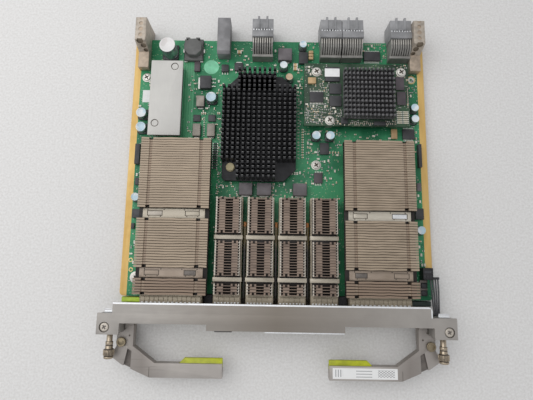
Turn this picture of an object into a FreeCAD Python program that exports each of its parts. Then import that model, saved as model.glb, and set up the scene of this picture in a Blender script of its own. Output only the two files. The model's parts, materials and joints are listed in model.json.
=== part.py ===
import FreeCAD, Part
import math
import operator
import os
import Sketcher

# A plug-in line card for an optical network chassis, lying flat on its front panel and guide modules.
# +X runs to the right along the panel, +Y from the panel to the backplane connectors, +Z up.
# The origin is on the resting plane, under the middle of the whole outline.
# Every sub-part is drawn from the board's front edge and centre line, then placed by the same values.

SIZES = {
    # Main board
    "board_width": 228.0,
    "board_depth": 200.0,
    "board_thickness": 2.4,
    "board_lift": 3.4,
    "board_corner": 3.0,
    # Front panel
    "panel_width": 240.0,
    "panel_height": 28.0,
    "panel_sheet": 1.8,
    "panel_gap": 2.4,
    "panel_depth": 13.6,
    "panel_left_reach": 110.0,
    "panel_right_reach": 104.0,
    "panel_corner": 3.0,
    "panel_face": 2.0,
    "panel_face_reach": 97.0,
    "middle_width": 92.4,
    "middle_step": 4.0,
    "ear_width": 15.0,
    "ear_depth": 13.8,
    "ear_step": 7.3,
    "foot_width": 12.0,
    "foot_depth": 22.0,
    "foot_inset": 7.2,
    "foot_setback": 8.8,
    "boss_side": 7.0,
    "port_clearance": 0.2,
    "overcut": 1.0,
    # Handle seats under the ears
    "seat_inset": 0.4,
    "seat_wall": 3.0,
    "lug_reach": 5.4,
    "lug_chamfer": 2.6,
    "lever_clearance": 0.3,
    # Ejector levers
    "lever_reach": 53.5,
    "lever_bottom": 9.0,
    "lever_thickness": 6.0,
    "handle_width": 9.5,
    "handle_tip": 36.8,
    "handle_elbow": 83.5,
    "arm_offset": 7.9,
    "arm_drop": 2.8,
    "heel_offset": 0.8,
    "heel_drop": 15.1,
    "elbow_shift": 3.0,
    "wedge_reach": 7.2,
    "wedge_drop": 9.6,
    "hub_reach": 3.4,
    "claw_length": 16.7,
    "claw_shoulder": 5.5,
    "claw_notch": 5.0,
    "claw_notch_width": 4.0,
    "claw_nose": 4.2,
    "claw_chamfer": 2.0,
    "groove_depth": 2.2,
    "groove_width": 5.6,
    "groove_near_x": 4.4,
    "groove_near_y": 4.4,
    "groove_far_x": 1.4,
    "groove_far_y": 19.0,
    "pivot_inset": 13.2,
    "pivot_drop": 6.9,
    "pin_radius": 2.0,
    "pin_play": 0.05,
    "pin_head_radius": 3.2,
    "pin_head_height": 1.6,
    # Release tabs in the lever handles
    "tab_length": 30.0,
    "tab_reach": 3.4,
    "tab_thickness": 2.4,
    "tab_flange": 0.5,
    "tab_flange_depth": 1.2,
    "tab_lip": 1.2,
    "tab_travel": 2.5,
    "tab_play": 0.2,
    # Captive thumbscrews
    "thumb_inset": 6.5,
    "thumb_height": 19.8,
    "thumb_shank": 2.0,
    "thumb_bore": 2.3,
    "thumb_neck": 5.8,
    "thumb_body": 2.6,
    "thumb_body_length": 4.8,
    "thumb_head": 3.7,
    "thumb_head_length": 6.4,
    "thumb_tip": 2.0,
    # Module bays
    "bay_shift": -0.7,
    "large_spread": 72.8,
    "large_width": 43.0,
    "large_height": 13.6,
    "large_length": 126.8,
    "large_wall": 0.5,
    "small_pitch": 22.8,
    "small_width": 19.4,
    "small_height": 10.2,
    "small_length": 91.8,
    "small_wall": 0.4,
    "cage_setback": 0.2,
    "window_margin": 4.0,
    "socket_margin": 3.0,
    "large_socket_depth": 10.0,
    "large_socket_height": 9.0,
    "small_socket_depth": 8.0,
    "small_socket_height": 6.5,
    # Riding heat sinks, their fins and clips
    "sink_rise": 0.5,
    "clip_sheet": 0.5,
    "clip_play": 0.1,
    "pedestal_play": 0.3,
    "pedestal_drop": 0.6,
    "large_sink_width": 50.0,
    "large_sink_base": 1.6,
    "large_fin_height": 5.0,
    "large_fin_pitch": 3.6,
    "large_fin": 1.5,
    "large_sink_front": 2.8,
    "large_front_group": 10.9,
    "large_middle_group": 33.8,
    "large_rear_group": 50.5,
    "large_clip_gap": 7.6,
    "large_clip_leg": 8.0,
    "large_clip_slot": 11.0,
    "small_sink_width": 17.8,
    "small_sink_base": 1.4,
    "small_fin_height": 5.0,
    "small_fin_pitch": 3.4,
    "small_fin": 0.9,
    "small_sink_front": 3.2,
    "small_front_group": 7.4,
    "small_middle_group": 24.0,
    "small_rear_group": 25.6,
    "small_clip_gap": 5.6,
    "small_clip_leg": 6.0,
    "small_clip_length": 3.0,
    "clip_side_gap": 0.4,
    # Light pipes and foam blocks between the bays
    "pipe_width": 2.0,
    "pipe_height": 2.6,
    "pipe_level": 3.6,
    "pipe_length": 54.5,
    "foam_width": 6.0,
    "foam_height": 8.0,
    "foam_depth": 2.2,
    # Main chip and its pin heat sink
    "chip_x": -14.3,
    "chip_y": 128.0,
    "chip_side": 42.0,
    "chip_height": 2.6,
    "main_base": 3.0,
    "main_pin_height": 11.4,
    "main_field_width": 55.4,
    "main_field_depth": 57.2,
    "main_neck_depth": 13.9,
    "main_foot_depth": 14.2,
    "main_corner": 9.0,
    "main_shoulder": 11.0,
    "main_pitch_across": 4.0,
    "main_pitch_along": 6.4,
    "main_pin": 2.2,
    # Mezzanine board
    "mezzanine_x": 59.0,
    "mezzanine_y": 152.4,
    "mezzanine_width": 79.6,
    "mezzanine_depth": 49.8,
    "mezzanine_sheet": 1.6,
    "mezzanine_stand": 7.4,
    "mezzanine_sink_x": 67.2,
    "mezzanine_sink_y": 151.3,
    "mezzanine_sink_width": 37.6,
    "mezzanine_sink_depth": 37.8,
    "mezzanine_sink_base": 2.0,
    "mezzanine_pin_height": 5.0,
    "mezzanine_pitch_across": 5.8,
    "mezzanine_pitch_along": 5.8,
    "mezzanine_pin": 2.3,
    "mezzanine_chip": 31.0,
    "mezzanine_chip_height": 2.0,
    "link_length": 52.0,
    "link_width": 6.0,
    "link_setback": 5.0,
    "stand_width": 5.0,
    # Power module
    "power_x": -85.1,
    "power_y": 146.8,
    "power_width": 24.0,
    "power_depth": 58.8,
    "power_plate": 1.6,
    "power_core": 8.3,
    "power_sheet": 1.6,
    "power_stand": 1.2,
    "power_margin": 1.4,
    "power_pin": 1.4,
    "power_pin_inset": 3.0,
    # Backplane connectors and guide modules
    "connector_overhang": 13.5,
    "connector_width": 16.2,
    "connector_height": 14.0,
    "connector_bar": 5.0,
    "connector_seat": 3.5,
    "connector_drop": 2.8,
    "connector_step": 1.2,
    "connector_slot": 1.6,
    "connector_rib": 1.6,
    "connector_rib_spread": 3.2,
    "connector_rib_reach": 2.0,
    "wafer_depth": 14.0,
    "wafer_sheet": 1.2,
    "wafer_pitch": 2.6,
    "wafer_slope": 1.6,
    "organiser": 1.2,
    "organiser_drop": 4.0,
    "edge_clearance": 0.3,
    "power_inlet_x": -43.2,
    "power_inlet_width": 9.9,
    "power_inlet_height": 10.6,
    "power_inlet_seat": 15.8,
    "power_inlet_chamfer": 2.0,
    "power_inlet_slot": 2.4,
    "power_inlet_wall": 1.6,
    "guide_inset": 8.4,
    "guide_width": 8.3,
    "guide_height": 17.0,
    "guide_overhang": 8.9,
    "guide_top": 18.5,
    "guide_slope": 3.9,
    "guide_foot": 12.6,
    "guide_foot_height": 6.0,
    "guide_bore": 2.6,
    "guide_bore_depth": 14.0,
    "guide_bore_height": 9.0,
    # Loose parts on the board
    "choke_x": -67.4,
    "choke_y": 190.5,
    "choke_width": 15.0,
    "choke_depth": 18.0,
    "choke_base": 3.0,
    "choke_cap": 13.6,
    "choke_corner": 4.0,
    "choke_height": 8.0,
    "can_height": 7.0,
    "can_foot_margin": 0.3,
    "can_foot_height": 1.3,
    "bulk_radius": 6.0,
    "bulk_height": 13.7,
    "header_x": 108.1,
    "header_y": 19.2,
    "header_width": 7.2,
    "header_depth": 8.4,
    "header_height": 7.4,
    "switch_width": 5.2,
    "switch_depth": 6.6,
    "switch_play": 0.2,
    "lead_width": 4.2,
    "lead_thickness": 1.2,
    "lead_bend": 0.8,
    "lead_bend_setback": 2.9,
    "lead_height": 4.4,
}

# Places on the board, in millimetres right of the centre line and behind the front edge.
STAND_PLACES = [(28.6, 170.2), (93.1, 170.5), (38.4, 131.6)]
CONNECTOR_PLACES = [-12.9, 39.7, 56.3, 93.2]
BULK_PLACE = (-85.8, 188.6)
# Can capacitors: middle and radius.
CANS = [(-51.8, 150.2, 3.9), (-104.6, 136.9, 3.8), (-104.2, 125.6, 3.8), (3.6, 177.0, 2.9), (8.0, 167.2, 2.7),
        (18.6, 194.4, 2.8), (28.7, 120.9, 3.2), (39.3, 120.9, 3.2), (103.8, 143.8, 2.9), (103.8, 135.0, 2.9),
        (104.9, 50.3, 3.0), (-105.0, 71.8, 3.0)]
# Inductors and chip packages: middle, sides and height above the carrying board.
INDUCTORS = [(4.6, 186.9, 10.9, 10.0, 5.0), (-60.4, 147.6, 6.2, 8.9, 4.6), (-62.5, 124.7, 6.0, 9.9, 4.2),
             (-51.4, 124.7, 6.1, 10.2, 4.2), (-23.9, 79.4, 10.0, 9.4, 4.8), (-10.1, 79.4, 10.8, 9.4, 4.8),
             (16.6, 79.4, 10.4, 9.4, 4.8)]
PACKAGES = [(19.2, 185.4, 7.0, 9.7, 2.6), (25.2, 188.0, 3.6, 7.3, 2.2), (-57.0, 163.4, 8.7, 10.2, 4.2),
            (73.4, 187.8, 12.7, 7.6, 1.9), (35.4, 112.0, 6.9, 9.1, 1.5), (100.1, 124.4, 9.2, 7.9, 1.6),
            (89.2, 124.6, 4.6, 8.0, 1.2), (30.6, 89.0, 6.4, 8.0, 1.8), (-103.5, 59.8, 7.9, 6.5, 4.0),
            (105.1, 62.6, 6.1, 8.1, 4.0), (-106.5, 105.2, 3.7, 15.6, 4.0), (107.4, 107.0, 2.4, 18.0, 4.0),
            (-42.4, 176.0, 5.6, 6.0, 2.2), (-31.7, 177.4, 6.6, 6.4, 2.2)]
MEZZANINE_PACKAGES = [(40.6, 168.0, 11.0, 11.4, 1.8), (28.4, 149.6, 10.2, 8.0, 1.6),
                      (42.7, 156.5, 9.0, 8.2, 1.4),
                      (42.7, 146.7, 9.0, 8.2, 1.4), (91.8, 161.4, 6.4, 10.4, 1.2),
                      (92.6, 149.6, 6.6, 10.4, 1.2),
                      (49.2, 131.6, 5.0, 5.2, 1.2),
                      (25.0, 162.6, 6.0, 4.8, 2.0), (76.0, 129.6, 9.0, 3.0, 1.0)]


class Size:
    """A number together with the sheet expression that it follows."""

    def __init__(self, value, text):
        self.value = value
        self.text = text

    def __add__(self, other):
        return joined(self, "+", other)

    def __radd__(self, other):
        return joined(other, "+", self)

    def __sub__(self, other):
        return joined(self, "-", other)

    def __rsub__(self, other):
        return joined(other, "-", self)

    def __mul__(self, other):
        return joined(self, "*", other)

    def __rmul__(self, other):
        return joined(other, "*", self)

    def __truediv__(self, other):
        return joined(self, "/", other)

    def __neg__(self):
        return joined(0, "-", self)


SIGNS = {"+": operator.add, "-": operator.sub, "*": operator.mul, "/": operator.truediv}


def as_size(thing):
    if isinstance(thing, Size):
        return thing
    return Size(float(thing), repr(float(thing)))


def joined(first, sign, second):
    first = as_size(first)
    second = as_size(second)
    return Size(SIGNS[sign](first.value, second.value), f"({first.text} {sign} {second.text})")


def copies(span, pitch):
    """How many copies at a pitch have their middles within a span."""
    count = joined(span, "/", pitch)
    return Size(math.floor(count.value) + 1, f"floor({count.text}) + 1")


doc = FreeCAD.newDocument("line_card")
sheet = doc.addObject("Spreadsheet::Sheet", "dims")


class Dimensions:
    """The sheet's values, each by its own name."""

    def __init__(self, values):
        for row, (name, value) in enumerate(values.items(), 1):
            sheet.set(f"A{row}", name)
            sheet.set(f"B{row}", str(value))
            sheet.setAlias(f"B{row}", name)
            setattr(self, name, Size(value, "dims." + name))


d = Dimensions(SIZES)
doc.recompute()
nodes = {}

# Levels and lines that many sub-parts share
front_edge = (d.lever_reach - d.board_depth - d.connector_overhang) / 2
board_top = d.board_lift + d.board_thickness
flange_rear = -d.panel_gap
side_front = flange_rear - d.panel_depth
middle_front = side_front - d.middle_step
ear_front = side_front - d.ear_step
ear_rear = ear_front + d.ear_depth
half_panel = d.panel_width / 2
ear_inner = half_panel - d.ear_width
panel_inside = d.panel_height - d.panel_sheet
pivot_x = half_panel - d.pivot_inset
pivot_y = ear_front - d.pivot_drop
lever_top = d.lever_bottom + d.lever_thickness
thumb_x = half_panel - d.thumb_inset
large_top = board_top + d.large_height
small_top = board_top + d.small_height
large_cage_front = side_front + d.cage_setback
small_cage_front = middle_front + d.cage_setback
large_sink_rear = (d.large_sink_front + d.large_front_group + d.large_middle_group + d.large_rear_group
                   + 2 * d.large_clip_gap)
small_sink_rear = (d.small_sink_front + d.small_front_group + d.small_middle_group + d.small_rear_group
                   + 2 * d.small_clip_gap)
LARGE_BAYS = {"left": d.bay_shift - d.large_spread, "right": d.bay_shift + d.large_spread}
SMALL_BAYS = {step + 1: d.bay_shift + d.small_pitch * (step - 1.5) for step in range(4)}


def bind(thing, path, size):
    thing.setExpression(path, as_size(size).text)


def place(thing, label, x=0, y=0, z=0):
    """Name a finished sub-part and set it down from the board's front edge."""
    thing.Label = label
    bind(thing, "Placement.Base.x", x)
    bind(thing, "Placement.Base.y", front_edge + y)
    bind(thing, "Placement.Base.z", z)
    nodes[label] = thing
    return thing


def box(x, y, z):
    """A block between two values on each axis."""
    block = doc.addObject("Part::Box", "Block")
    for (low, high), side, axis in zip((x, y, z), ("Length", "Width", "Height"), "xyz"):
        bind(block, side, as_size(high) - low)
        bind(block, "Placement.Base." + axis, low)
    return block


def post(x, y, z, radius):
    """An upright cylinder between two levels."""
    rod = doc.addObject("Part::Cylinder", "Post")
    bind(rod, "Radius", radius)
    bind(rod, "Height", as_size(z[1]) - z[0])
    for axis, value in zip("xyz", (x, y, z[0])):
        bind(rod, "Placement.Base." + axis, value)
    return rod


def block_on(x, y, z, width, depth, height):
    """A block that stands on a level, around a middle point."""
    return box((x - width / 2, x + width / 2), (y - depth / 2, y + depth / 2), (z, z + height))


def joined_up(*solids):
    fuse = doc.addObject("Part::MultiFuse", "Union")
    fuse.Shapes = list(solids)
    fuse.Refine = True
    return fuse


def cut(base, *tools):
    result = doc.addObject("Part::Cut", "Cut")
    result.Base = base
    result.Tool = tools[0] if len(tools) == 1 else joined_up(*tools)
    return result


def grouped(solids):
    group = doc.addObject("Part::Compound", "Group")
    group.Links = list(solids)
    return group


def mirrored(source):
    twin = doc.addObject("Part::Mirroring", "Mirror")
    twin.Source = source
    twin.Normal = FreeCAD.Vector(1, 0, 0)
    return twin


class Body:
    """A solid built up from sketches, each pinned to the sheet's values."""

    def __init__(self):
        self.body = doc.addObject("PartDesign::Body", "Body")
        self.planes = {plane.Role: plane for plane in self.body.Origin.OriginFeatures}

    def sketch(self, plane, level, *loops):
        """Draw closed loops on an origin plane moved along its normal; a circle is (x, y, radius)."""
        sketch = self.body.newObject("Sketcher::SketchObject", "Sketch")
        sketch.AttachmentSupport = [(self.planes[plane + "_Plane"], "")]
        sketch.MapMode = "FlatFace"
        bind(sketch, "AttachmentOffset.Base.z", level)
        for loop in loops:
            if isinstance(loop, tuple):
                self.circle(sketch, *loop)
            else:
                self.outline(sketch, loop)
        return sketch

    def pin(self, sketch, kind, geometry, spot, size):
        size = as_size(size)
        index = sketch.addConstraint(Sketcher.Constraint(kind, -1, 1, geometry, spot, size.value))
        sketch.setExpression(f"Constraints[{index}]", size.text)

    def circle(self, sketch, x, y, radius):
        x, y, radius = as_size(x), as_size(y), as_size(radius)
        middle = FreeCAD.Vector(x.value, y.value, 0)
        ring = sketch.addGeometry(Part.Circle(middle, FreeCAD.Vector(0, 0, 1), radius.value), False)
        self.pin(sketch, "DistanceX", ring, 3, x)
        self.pin(sketch, "DistanceY", ring, 3, y)
        index = sketch.addConstraint(Sketcher.Constraint("Radius", ring, radius.value))
        sketch.setExpression(f"Constraints[{index}]", radius.text)

    def outline(self, sketch, points):
        points = [(as_size(x), as_size(y)) for x, y in points]
        corners = [FreeCAD.Vector(x.value, y.value, 0) for x, y in points]
        count = len(corners)
        sides = [Part.LineSegment(corners[i], corners[(i + 1) % count]) for i in range(count)]
        lines = sketch.addGeometry(sides, False)
        for i in range(count):
            sketch.addConstraint(Sketcher.Constraint("Coincident", lines[i], 2, lines[(i + 1) % count], 1))
        for line, (x, y) in zip(lines, points):
            self.pin(sketch, "DistanceX", line, 1, x)
            self.pin(sketch, "DistanceY", line, 1, y)

    def feature(self, kind, sketch, length, backwards):
        feature = self.body.newObject("PartDesign::" + kind, kind)
        feature.Profile = sketch
        feature.Reversed = backwards
        bind(feature, "Length", length)
        self.body.Tip = feature
        return feature

    def pad(self, plane, level, length, *loops, backwards=False):
        return self.feature("Pad", self.sketch(plane, level, *loops), length, backwards)

    def pocket(self, plane, level, length, *loops, backwards=False):
        return self.feature("Pocket", self.sketch(plane, level, *loops), length, backwards)

    def pattern(self, feature, axis, pitch, count):
        """Repeat a feature along an origin axis."""
        rows = self.body.newObject("PartDesign::LinearPattern", "Rows")
        rows.Originals = [feature]
        rows.Direction = (self.planes[axis + "_Axis"], [""])
        rows.Mode = "Spacing"
        bind(rows, "Offset", pitch)
        bind(rows, "Occurrences", count)
        self.body.Tip = rows
        return rows

    def grid(self, feature, across, along):
        """Repeat a feature along X and then along Y; each is a pitch and a count."""
        both = self.body.newObject("PartDesign::MultiTransform", "Grid")
        steps = []
        for axis, (pitch, count) in (("X", across), ("Y", along)):
            rows = doc.addObject("PartDesign::LinearPattern", "Rows")
            rows.Direction = (self.planes[axis + "_Axis"], [""])
            rows.Mode = "Spacing"
            bind(rows, "Offset", pitch)
            bind(rows, "Occurrences", count)
            steps.append(rows)
        both.Originals = [feature]
        both.Transformations = steps
        self.body.Tip = both
        return both

    def turn(self, plane, points):
        """Revolve a half profile about the plane's upright axis."""
        revolution = self.body.newObject("PartDesign::Revolution", "Revolution")
        sketch = self.sketch(plane, 0, points)
        revolution.Profile = sketch
        revolution.ReferenceAxis = (sketch, ["V_Axis"])
        revolution.Angle = 360
        self.body.Tip = revolution
        return revolution

    def fillet(self, radius, chosen):
        """Round the edges of the present solid that a test picks out."""
        doc.recompute()
        base = self.body.Tip
        names = [f"Edge{i}" for i, edge in enumerate(base.Shape.Edges, 1) if chosen(edge)]
        rounding = self.body.newObject("PartDesign::Fillet", "Fillet")
        rounding.Base = (base, names)
        bind(rounding, "Radius", radius)
        self.body.Tip = rounding
        return rounding


def rectangle(x, y):
    return [(x[0], y[0]), (x[1], y[0]), (x[1], y[1]), (x[0], y[1])]


def octagon(x, y, width):
    """A square around a middle point with its corners cut off."""
    half = width / 2
    flat = half - d.choke_corner
    return [(x - half, y - flat), (x - flat, y - half), (x + flat, y - half), (x + half, y - flat),
            (x + half, y + flat), (x + flat, y + half), (x - flat, y + half), (x - half, y + flat)]


def around(x, y, width, depth):
    return rectangle((x - width / 2, x + width / 2), (y - depth / 2, y + depth / 2))


def upright_at(*corners, above=0):
    """A test for upright edges that stand on given points of the plan, from a level up."""
    spots = [(as_size(x).value, as_size(y).value) for x, y in corners]
    level = as_size(above).value - 0.01

    def chosen(edge):
        ends = [vertex.Point for vertex in edge.Vertexes]
        if len(ends) != 2 or abs(ends[0].x - ends[1].x) + abs(ends[0].y - ends[1].y) > 0.001:
            return False
        if min(ends[0].z, ends[1].z) < level:
            return False
        return any(abs(ends[0].x - x) + abs(ends[0].y - y) < 0.01 for x, y in spots)

    return chosen

def twin(source, label):
    """A left-hand copy of a finished right-hand sub-part."""
    nodes[label] = mirrored(nodes[source])
    nodes[label].Label = label


def pipe_places():
    return [d.bay_shift + d.small_pitch * step for step in (-1, 0, 1)]


def main_board():
    half = d.board_width / 2
    board = Body()
    board.pad("XY", d.board_lift, d.board_thickness, rectangle((-half, half), (0, d.board_depth)))
    board.fillet(d.board_corner, upright_at((-half, 0), (half, 0), (-half, d.board_depth),
                                            (half, d.board_depth)))
    place(board.body, "main_board")


def sheet_outline():
    """Plan of the panel's upper and lower sheet, from the left rear corner round."""
    left = d.bay_shift - d.middle_width / 2
    right = d.bay_shift + d.middle_width / 2
    return [(-d.panel_left_reach, flange_rear), (d.panel_right_reach, flange_rear),
            (d.panel_right_reach, ear_rear), (half_panel, ear_rear), (half_panel, ear_front),
            (ear_inner, ear_front), (ear_inner, side_front), (right, side_front), (right, middle_front),
            (left, middle_front), (left, side_front), (-ear_inner, side_front), (-ear_inner, ear_front),
            (-half_panel, ear_front), (-half_panel, ear_rear), (-d.panel_left_reach, ear_rear)]


def face_outline():
    """Plan of the panel's upright face, which steps forward in front of the narrow bays."""
    left = d.bay_shift - d.middle_width / 2
    right = d.bay_shift + d.middle_width / 2
    wall = d.panel_face
    reach = d.panel_face_reach
    return [(-reach, side_front), (left, side_front), (left, middle_front), (right, middle_front),
            (right, side_front), (reach, side_front), (reach, side_front + wall),
            (right - wall, side_front + wall), (right - wall, middle_front + wall),
            (left + wall, middle_front + wall), (left + wall, side_front + wall), (-reach, side_front + wall)]


def port(middle, width, low, high):
    reach = width / 2 + d.port_clearance
    return rectangle((middle - reach, middle + reach), (low - d.port_clearance, high + d.port_clearance))


def front_panel():
    panel = Body()
    panel.pad("XY", 0, d.panel_sheet, sheet_outline())
    panel.pad("XY", d.panel_sheet, panel_inside - d.panel_sheet, face_outline())
    panel.pad("XY", panel_inside, d.panel_sheet, sheet_outline())
    for middle in (-d.panel_left_reach + d.foot_inset, d.panel_right_reach - d.foot_inset):
        strip = (middle - d.foot_width / 2, middle + d.foot_width / 2)
        panel.pad("XY", 0, d.panel_sheet, rectangle(strip, (flange_rear, d.foot_depth)))
        boss = around(middle, d.foot_depth - d.foot_setback, d.boss_side, d.boss_side)
        panel.pad("XY", d.panel_sheet, d.board_lift - d.panel_sheet, boss)
    pipe_low = board_top + d.pipe_level
    openings = [port(x, d.large_width, board_top, large_top) for x in LARGE_BAYS.values()]
    openings += [port(x, d.small_width, board_top, small_top) for x in SMALL_BAYS.values()]
    openings += [port(x, d.pipe_width, pipe_low, pipe_low + d.pipe_height) for x in pipe_places()]
    panel.pocket("XZ", -middle_front, -middle_front - d.panel_gap, *openings)
    panel.fillet(d.panel_corner, upright_at((d.panel_right_reach, flange_rear), above=panel_inside))
    place(panel.body, "front_panel")


def handle_seats():
    """Blocks that fill the ears, each with a lug under the lever for the pin."""
    inner = ear_inner + d.seat_inset
    outer = half_panel - d.seat_inset
    front = ear_front + d.seat_inset
    rear = ear_rear - d.seat_inset
    lug_top = d.lever_bottom - d.lever_clearance
    slot_top = lever_top + d.lever_clearance
    lug_inner = pivot_x - d.lug_reach
    lug_outer = pivot_x + d.lug_reach
    lug_front = pivot_y - d.lug_reach
    seat = Body()
    lower = [(inner, rear), (inner, side_front), (lug_inner, side_front - d.ear_step / 2),
             (lug_inner, lug_front + d.lug_chamfer), (lug_inner + d.lug_chamfer, lug_front),
             (lug_outer - d.lug_chamfer, lug_front), (lug_outer, lug_front + d.lug_chamfer),
             (lug_outer, front), (outer, front), (outer, rear)]
    seat.pad("XY", d.panel_sheet, lug_top - d.panel_sheet, lower)
    seat.pad("XY", lug_top, slot_top - lug_top, rectangle((outer - d.seat_wall, outer), (front, rear)))
    seat.pad("XY", slot_top, panel_inside - slot_top, rectangle((inner, outer), (front, rear)))
    seat.pocket("XZ", -front, d.ear_depth, (thumb_x, d.thumb_height, d.thumb_bore))
    place(seat.body, "right_handle_seat")
    twin("right_handle_seat", "left_handle_seat")


def levers():
    """Ejector levers: a claw behind the pin, a cranked arm and a straight handle with a tab slot."""
    handle_front = -d.lever_reach
    handle_rear = handle_front + d.handle_width
    arm_inner = pivot_x - d.arm_offset
    hub_outer = pivot_x + d.hub_reach
    claw_rear = pivot_y + d.claw_length
    nose_front = claw_rear - d.claw_nose
    notch_front = nose_front - d.claw_notch_width
    outline = [(pivot_x - d.hub_reach, claw_rear), (arm_inner, claw_rear - d.claw_shoulder),
               (arm_inner, pivot_y - d.arm_drop), (d.handle_elbow, handle_rear), (d.handle_tip, handle_rear),
               (d.handle_tip, handle_front), (d.handle_elbow + d.elbow_shift, handle_front),
               (pivot_x - d.heel_offset, pivot_y - d.heel_drop),
               (pivot_x + d.wedge_reach, pivot_y - d.wedge_drop), (hub_outer, pivot_y - d.arm_drop),
               (hub_outer, notch_front), (hub_outer - d.claw_notch, notch_front),
               (hub_outer - d.claw_notch, nose_front), (hub_outer, nose_front),
               (hub_outer, claw_rear - d.claw_chamfer), (hub_outer - d.claw_chamfer, claw_rear)]
    lever = Body()
    lever.pad("XY", d.lever_bottom, d.lever_thickness, outline)
    groove = [(pivot_x - d.groove_near_x, pivot_y - d.groove_near_y),
              (pivot_x - d.groove_far_x, pivot_y - d.groove_far_y),
              (pivot_x - d.groove_far_x - d.groove_width, pivot_y - d.groove_far_y),
              (pivot_x - d.groove_near_x - d.groove_width / 2, pivot_y - d.groove_near_y * 1.4)]
    lever.pocket("XY", lever_top, d.groove_depth, groove)
    middle = d.lever_bottom + d.lever_thickness / 2
    lip_front = handle_rear - d.tab_lip
    slot_half = d.tab_thickness / 2 + d.tab_play
    well_half = slot_half + d.tab_flange
    well_front = lip_front - d.tab_flange_depth - d.tab_travel - 3 * d.tab_play
    slot_length = d.tab_length + d.overcut + d.tab_play
    slot = rectangle((lip_front - d.tab_play, handle_rear + d.overcut),
                     (middle - slot_half, middle + slot_half))
    well = rectangle((well_front, lip_front), (middle - well_half, middle + well_half))
    lever.pocket("YZ", d.handle_tip - d.overcut, slot_length, slot, backwards=True)
    lever.pocket("YZ", d.handle_tip - d.overcut, slot_length, well, backwards=True)
    lever.pocket("XY", lever_top, d.lever_thickness, (pivot_x, pivot_y, d.pin_radius + d.pin_play))
    place(lever.body, "right_lever")
    twin("right_lever", "left_lever")
    tab_end = d.handle_tip + d.tab_length - d.tab_play
    flange_rear_face = lip_front - d.tab_play
    tab = Body()
    neck = [(d.handle_tip, flange_rear_face), (tab_end, flange_rear_face), (tab_end, handle_rear),
            (tab_end - d.tab_reach, handle_rear + d.tab_reach), (d.handle_tip, handle_rear + d.tab_reach)]
    tab.pad("XY", middle - d.tab_thickness / 2, d.tab_thickness, neck)
    flange = rectangle((d.handle_tip, tab_end), (flange_rear_face - d.tab_flange_depth, flange_rear_face))
    tab.pad("XY", middle - d.tab_thickness / 2 - d.tab_flange, d.tab_thickness + 2 * d.tab_flange, flange)
    place(tab.body, "right_release_tab")
    twin("right_release_tab", "left_release_tab")


def lever_pins():
    foot = d.lever_bottom - d.lever_clearance
    under_head = lever_top + d.lever_clearance
    crown = under_head + d.pin_head_height
    pins = []
    for side in (-1, 1):
        pin = Body()
        pin.turn("XZ", [(0, foot), (d.pin_radius, foot), (d.pin_radius, under_head),
                        (d.pin_head_radius, under_head), (d.pin_head_radius, crown), (0, crown)])
        bind(pin.body, "Placement.Base.x", side * pivot_x)
        bind(pin.body, "Placement.Base.y", pivot_y)
        pins.append(pin.body)
    place(grouped(pins), "lever_pins")


def captive_screws():
    neck_front = ear_front - d.thumb_neck
    body_front = neck_front - d.thumb_body_length
    head_front = body_front - d.thumb_head_length
    tip = ear_rear + d.thumb_tip
    profile = [(0, head_front), (d.thumb_head, head_front), (d.thumb_head, body_front),
               (d.thumb_body, body_front), (d.thumb_body, neck_front), (d.thumb_shank, neck_front),
               (d.thumb_shank, tip), (0, tip)]
    for side, label in ((1, "right_captive_screw"), (-1, "left_captive_screw")):
        screw = Body()
        screw.turn("XY", profile)
        place(screw.body, label, x=side * thumb_x, z=d.thumb_height)


def cage(label, middle, width, top, length, wall, front, sink, socket_depth):
    """A folded sheet cage, open in front, with a window above for the sink and one below for the socket."""
    rear = front + length
    half = width / 2
    shell = box((middle - half, middle + half), (front, rear), (board_top, top))
    room = box((middle - half + wall, middle + half - wall), (front - d.overcut, rear - wall),
               (board_top + wall, top - wall))
    reach = half - d.window_margin
    window = box((middle - reach, middle + reach), sink, (top - wall - d.overcut, top + d.overcut))
    under = half - d.socket_margin + d.overcut
    floor = box((middle - under, middle + under), (rear - socket_depth - 2 * d.overcut, rear - wall),
                (board_top - d.overcut, board_top + wall + d.overcut))
    place(cut(shell, room, window, floor), label)


def cages():
    for side, middle in LARGE_BAYS.items():
        sink = (d.large_sink_front + d.window_margin,
                large_sink_rear - d.window_margin - d.large_socket_depth)
        cage(side + "_large_cage", middle, d.large_width, large_top, d.large_length, d.large_wall,
             large_cage_front, sink, d.large_socket_depth)
    for number, middle in SMALL_BAYS.items():
        sink = (d.small_sink_front + d.window_margin,
                small_sink_rear - d.window_margin - d.small_socket_depth)
        cage(f"small_cage_{number}", middle, d.small_width, small_top, d.small_length, d.small_wall,
             small_cage_front, sink, d.small_socket_depth)


def sockets():
    large = []
    for middle in LARGE_BAYS.values():
        rear = large_cage_front + d.large_length - d.large_wall - d.overcut
        reach = d.large_width / 2 - d.socket_margin
        large.append(box((middle - reach, middle + reach), (rear - d.large_socket_depth, rear),
                         (board_top, board_top + d.large_socket_height)))
    place(grouped(large), "large_module_sockets")
    small = []
    for middle in SMALL_BAYS.values():
        rear = small_cage_front + d.small_length - d.small_wall - d.overcut
        reach = d.small_width / 2 - d.socket_margin
        small.append(box((middle - reach, middle + reach), (rear - d.small_socket_depth, rear),
                         (board_top, board_top + d.small_socket_height)))
    place(grouped(small), "small_module_sockets")


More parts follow.
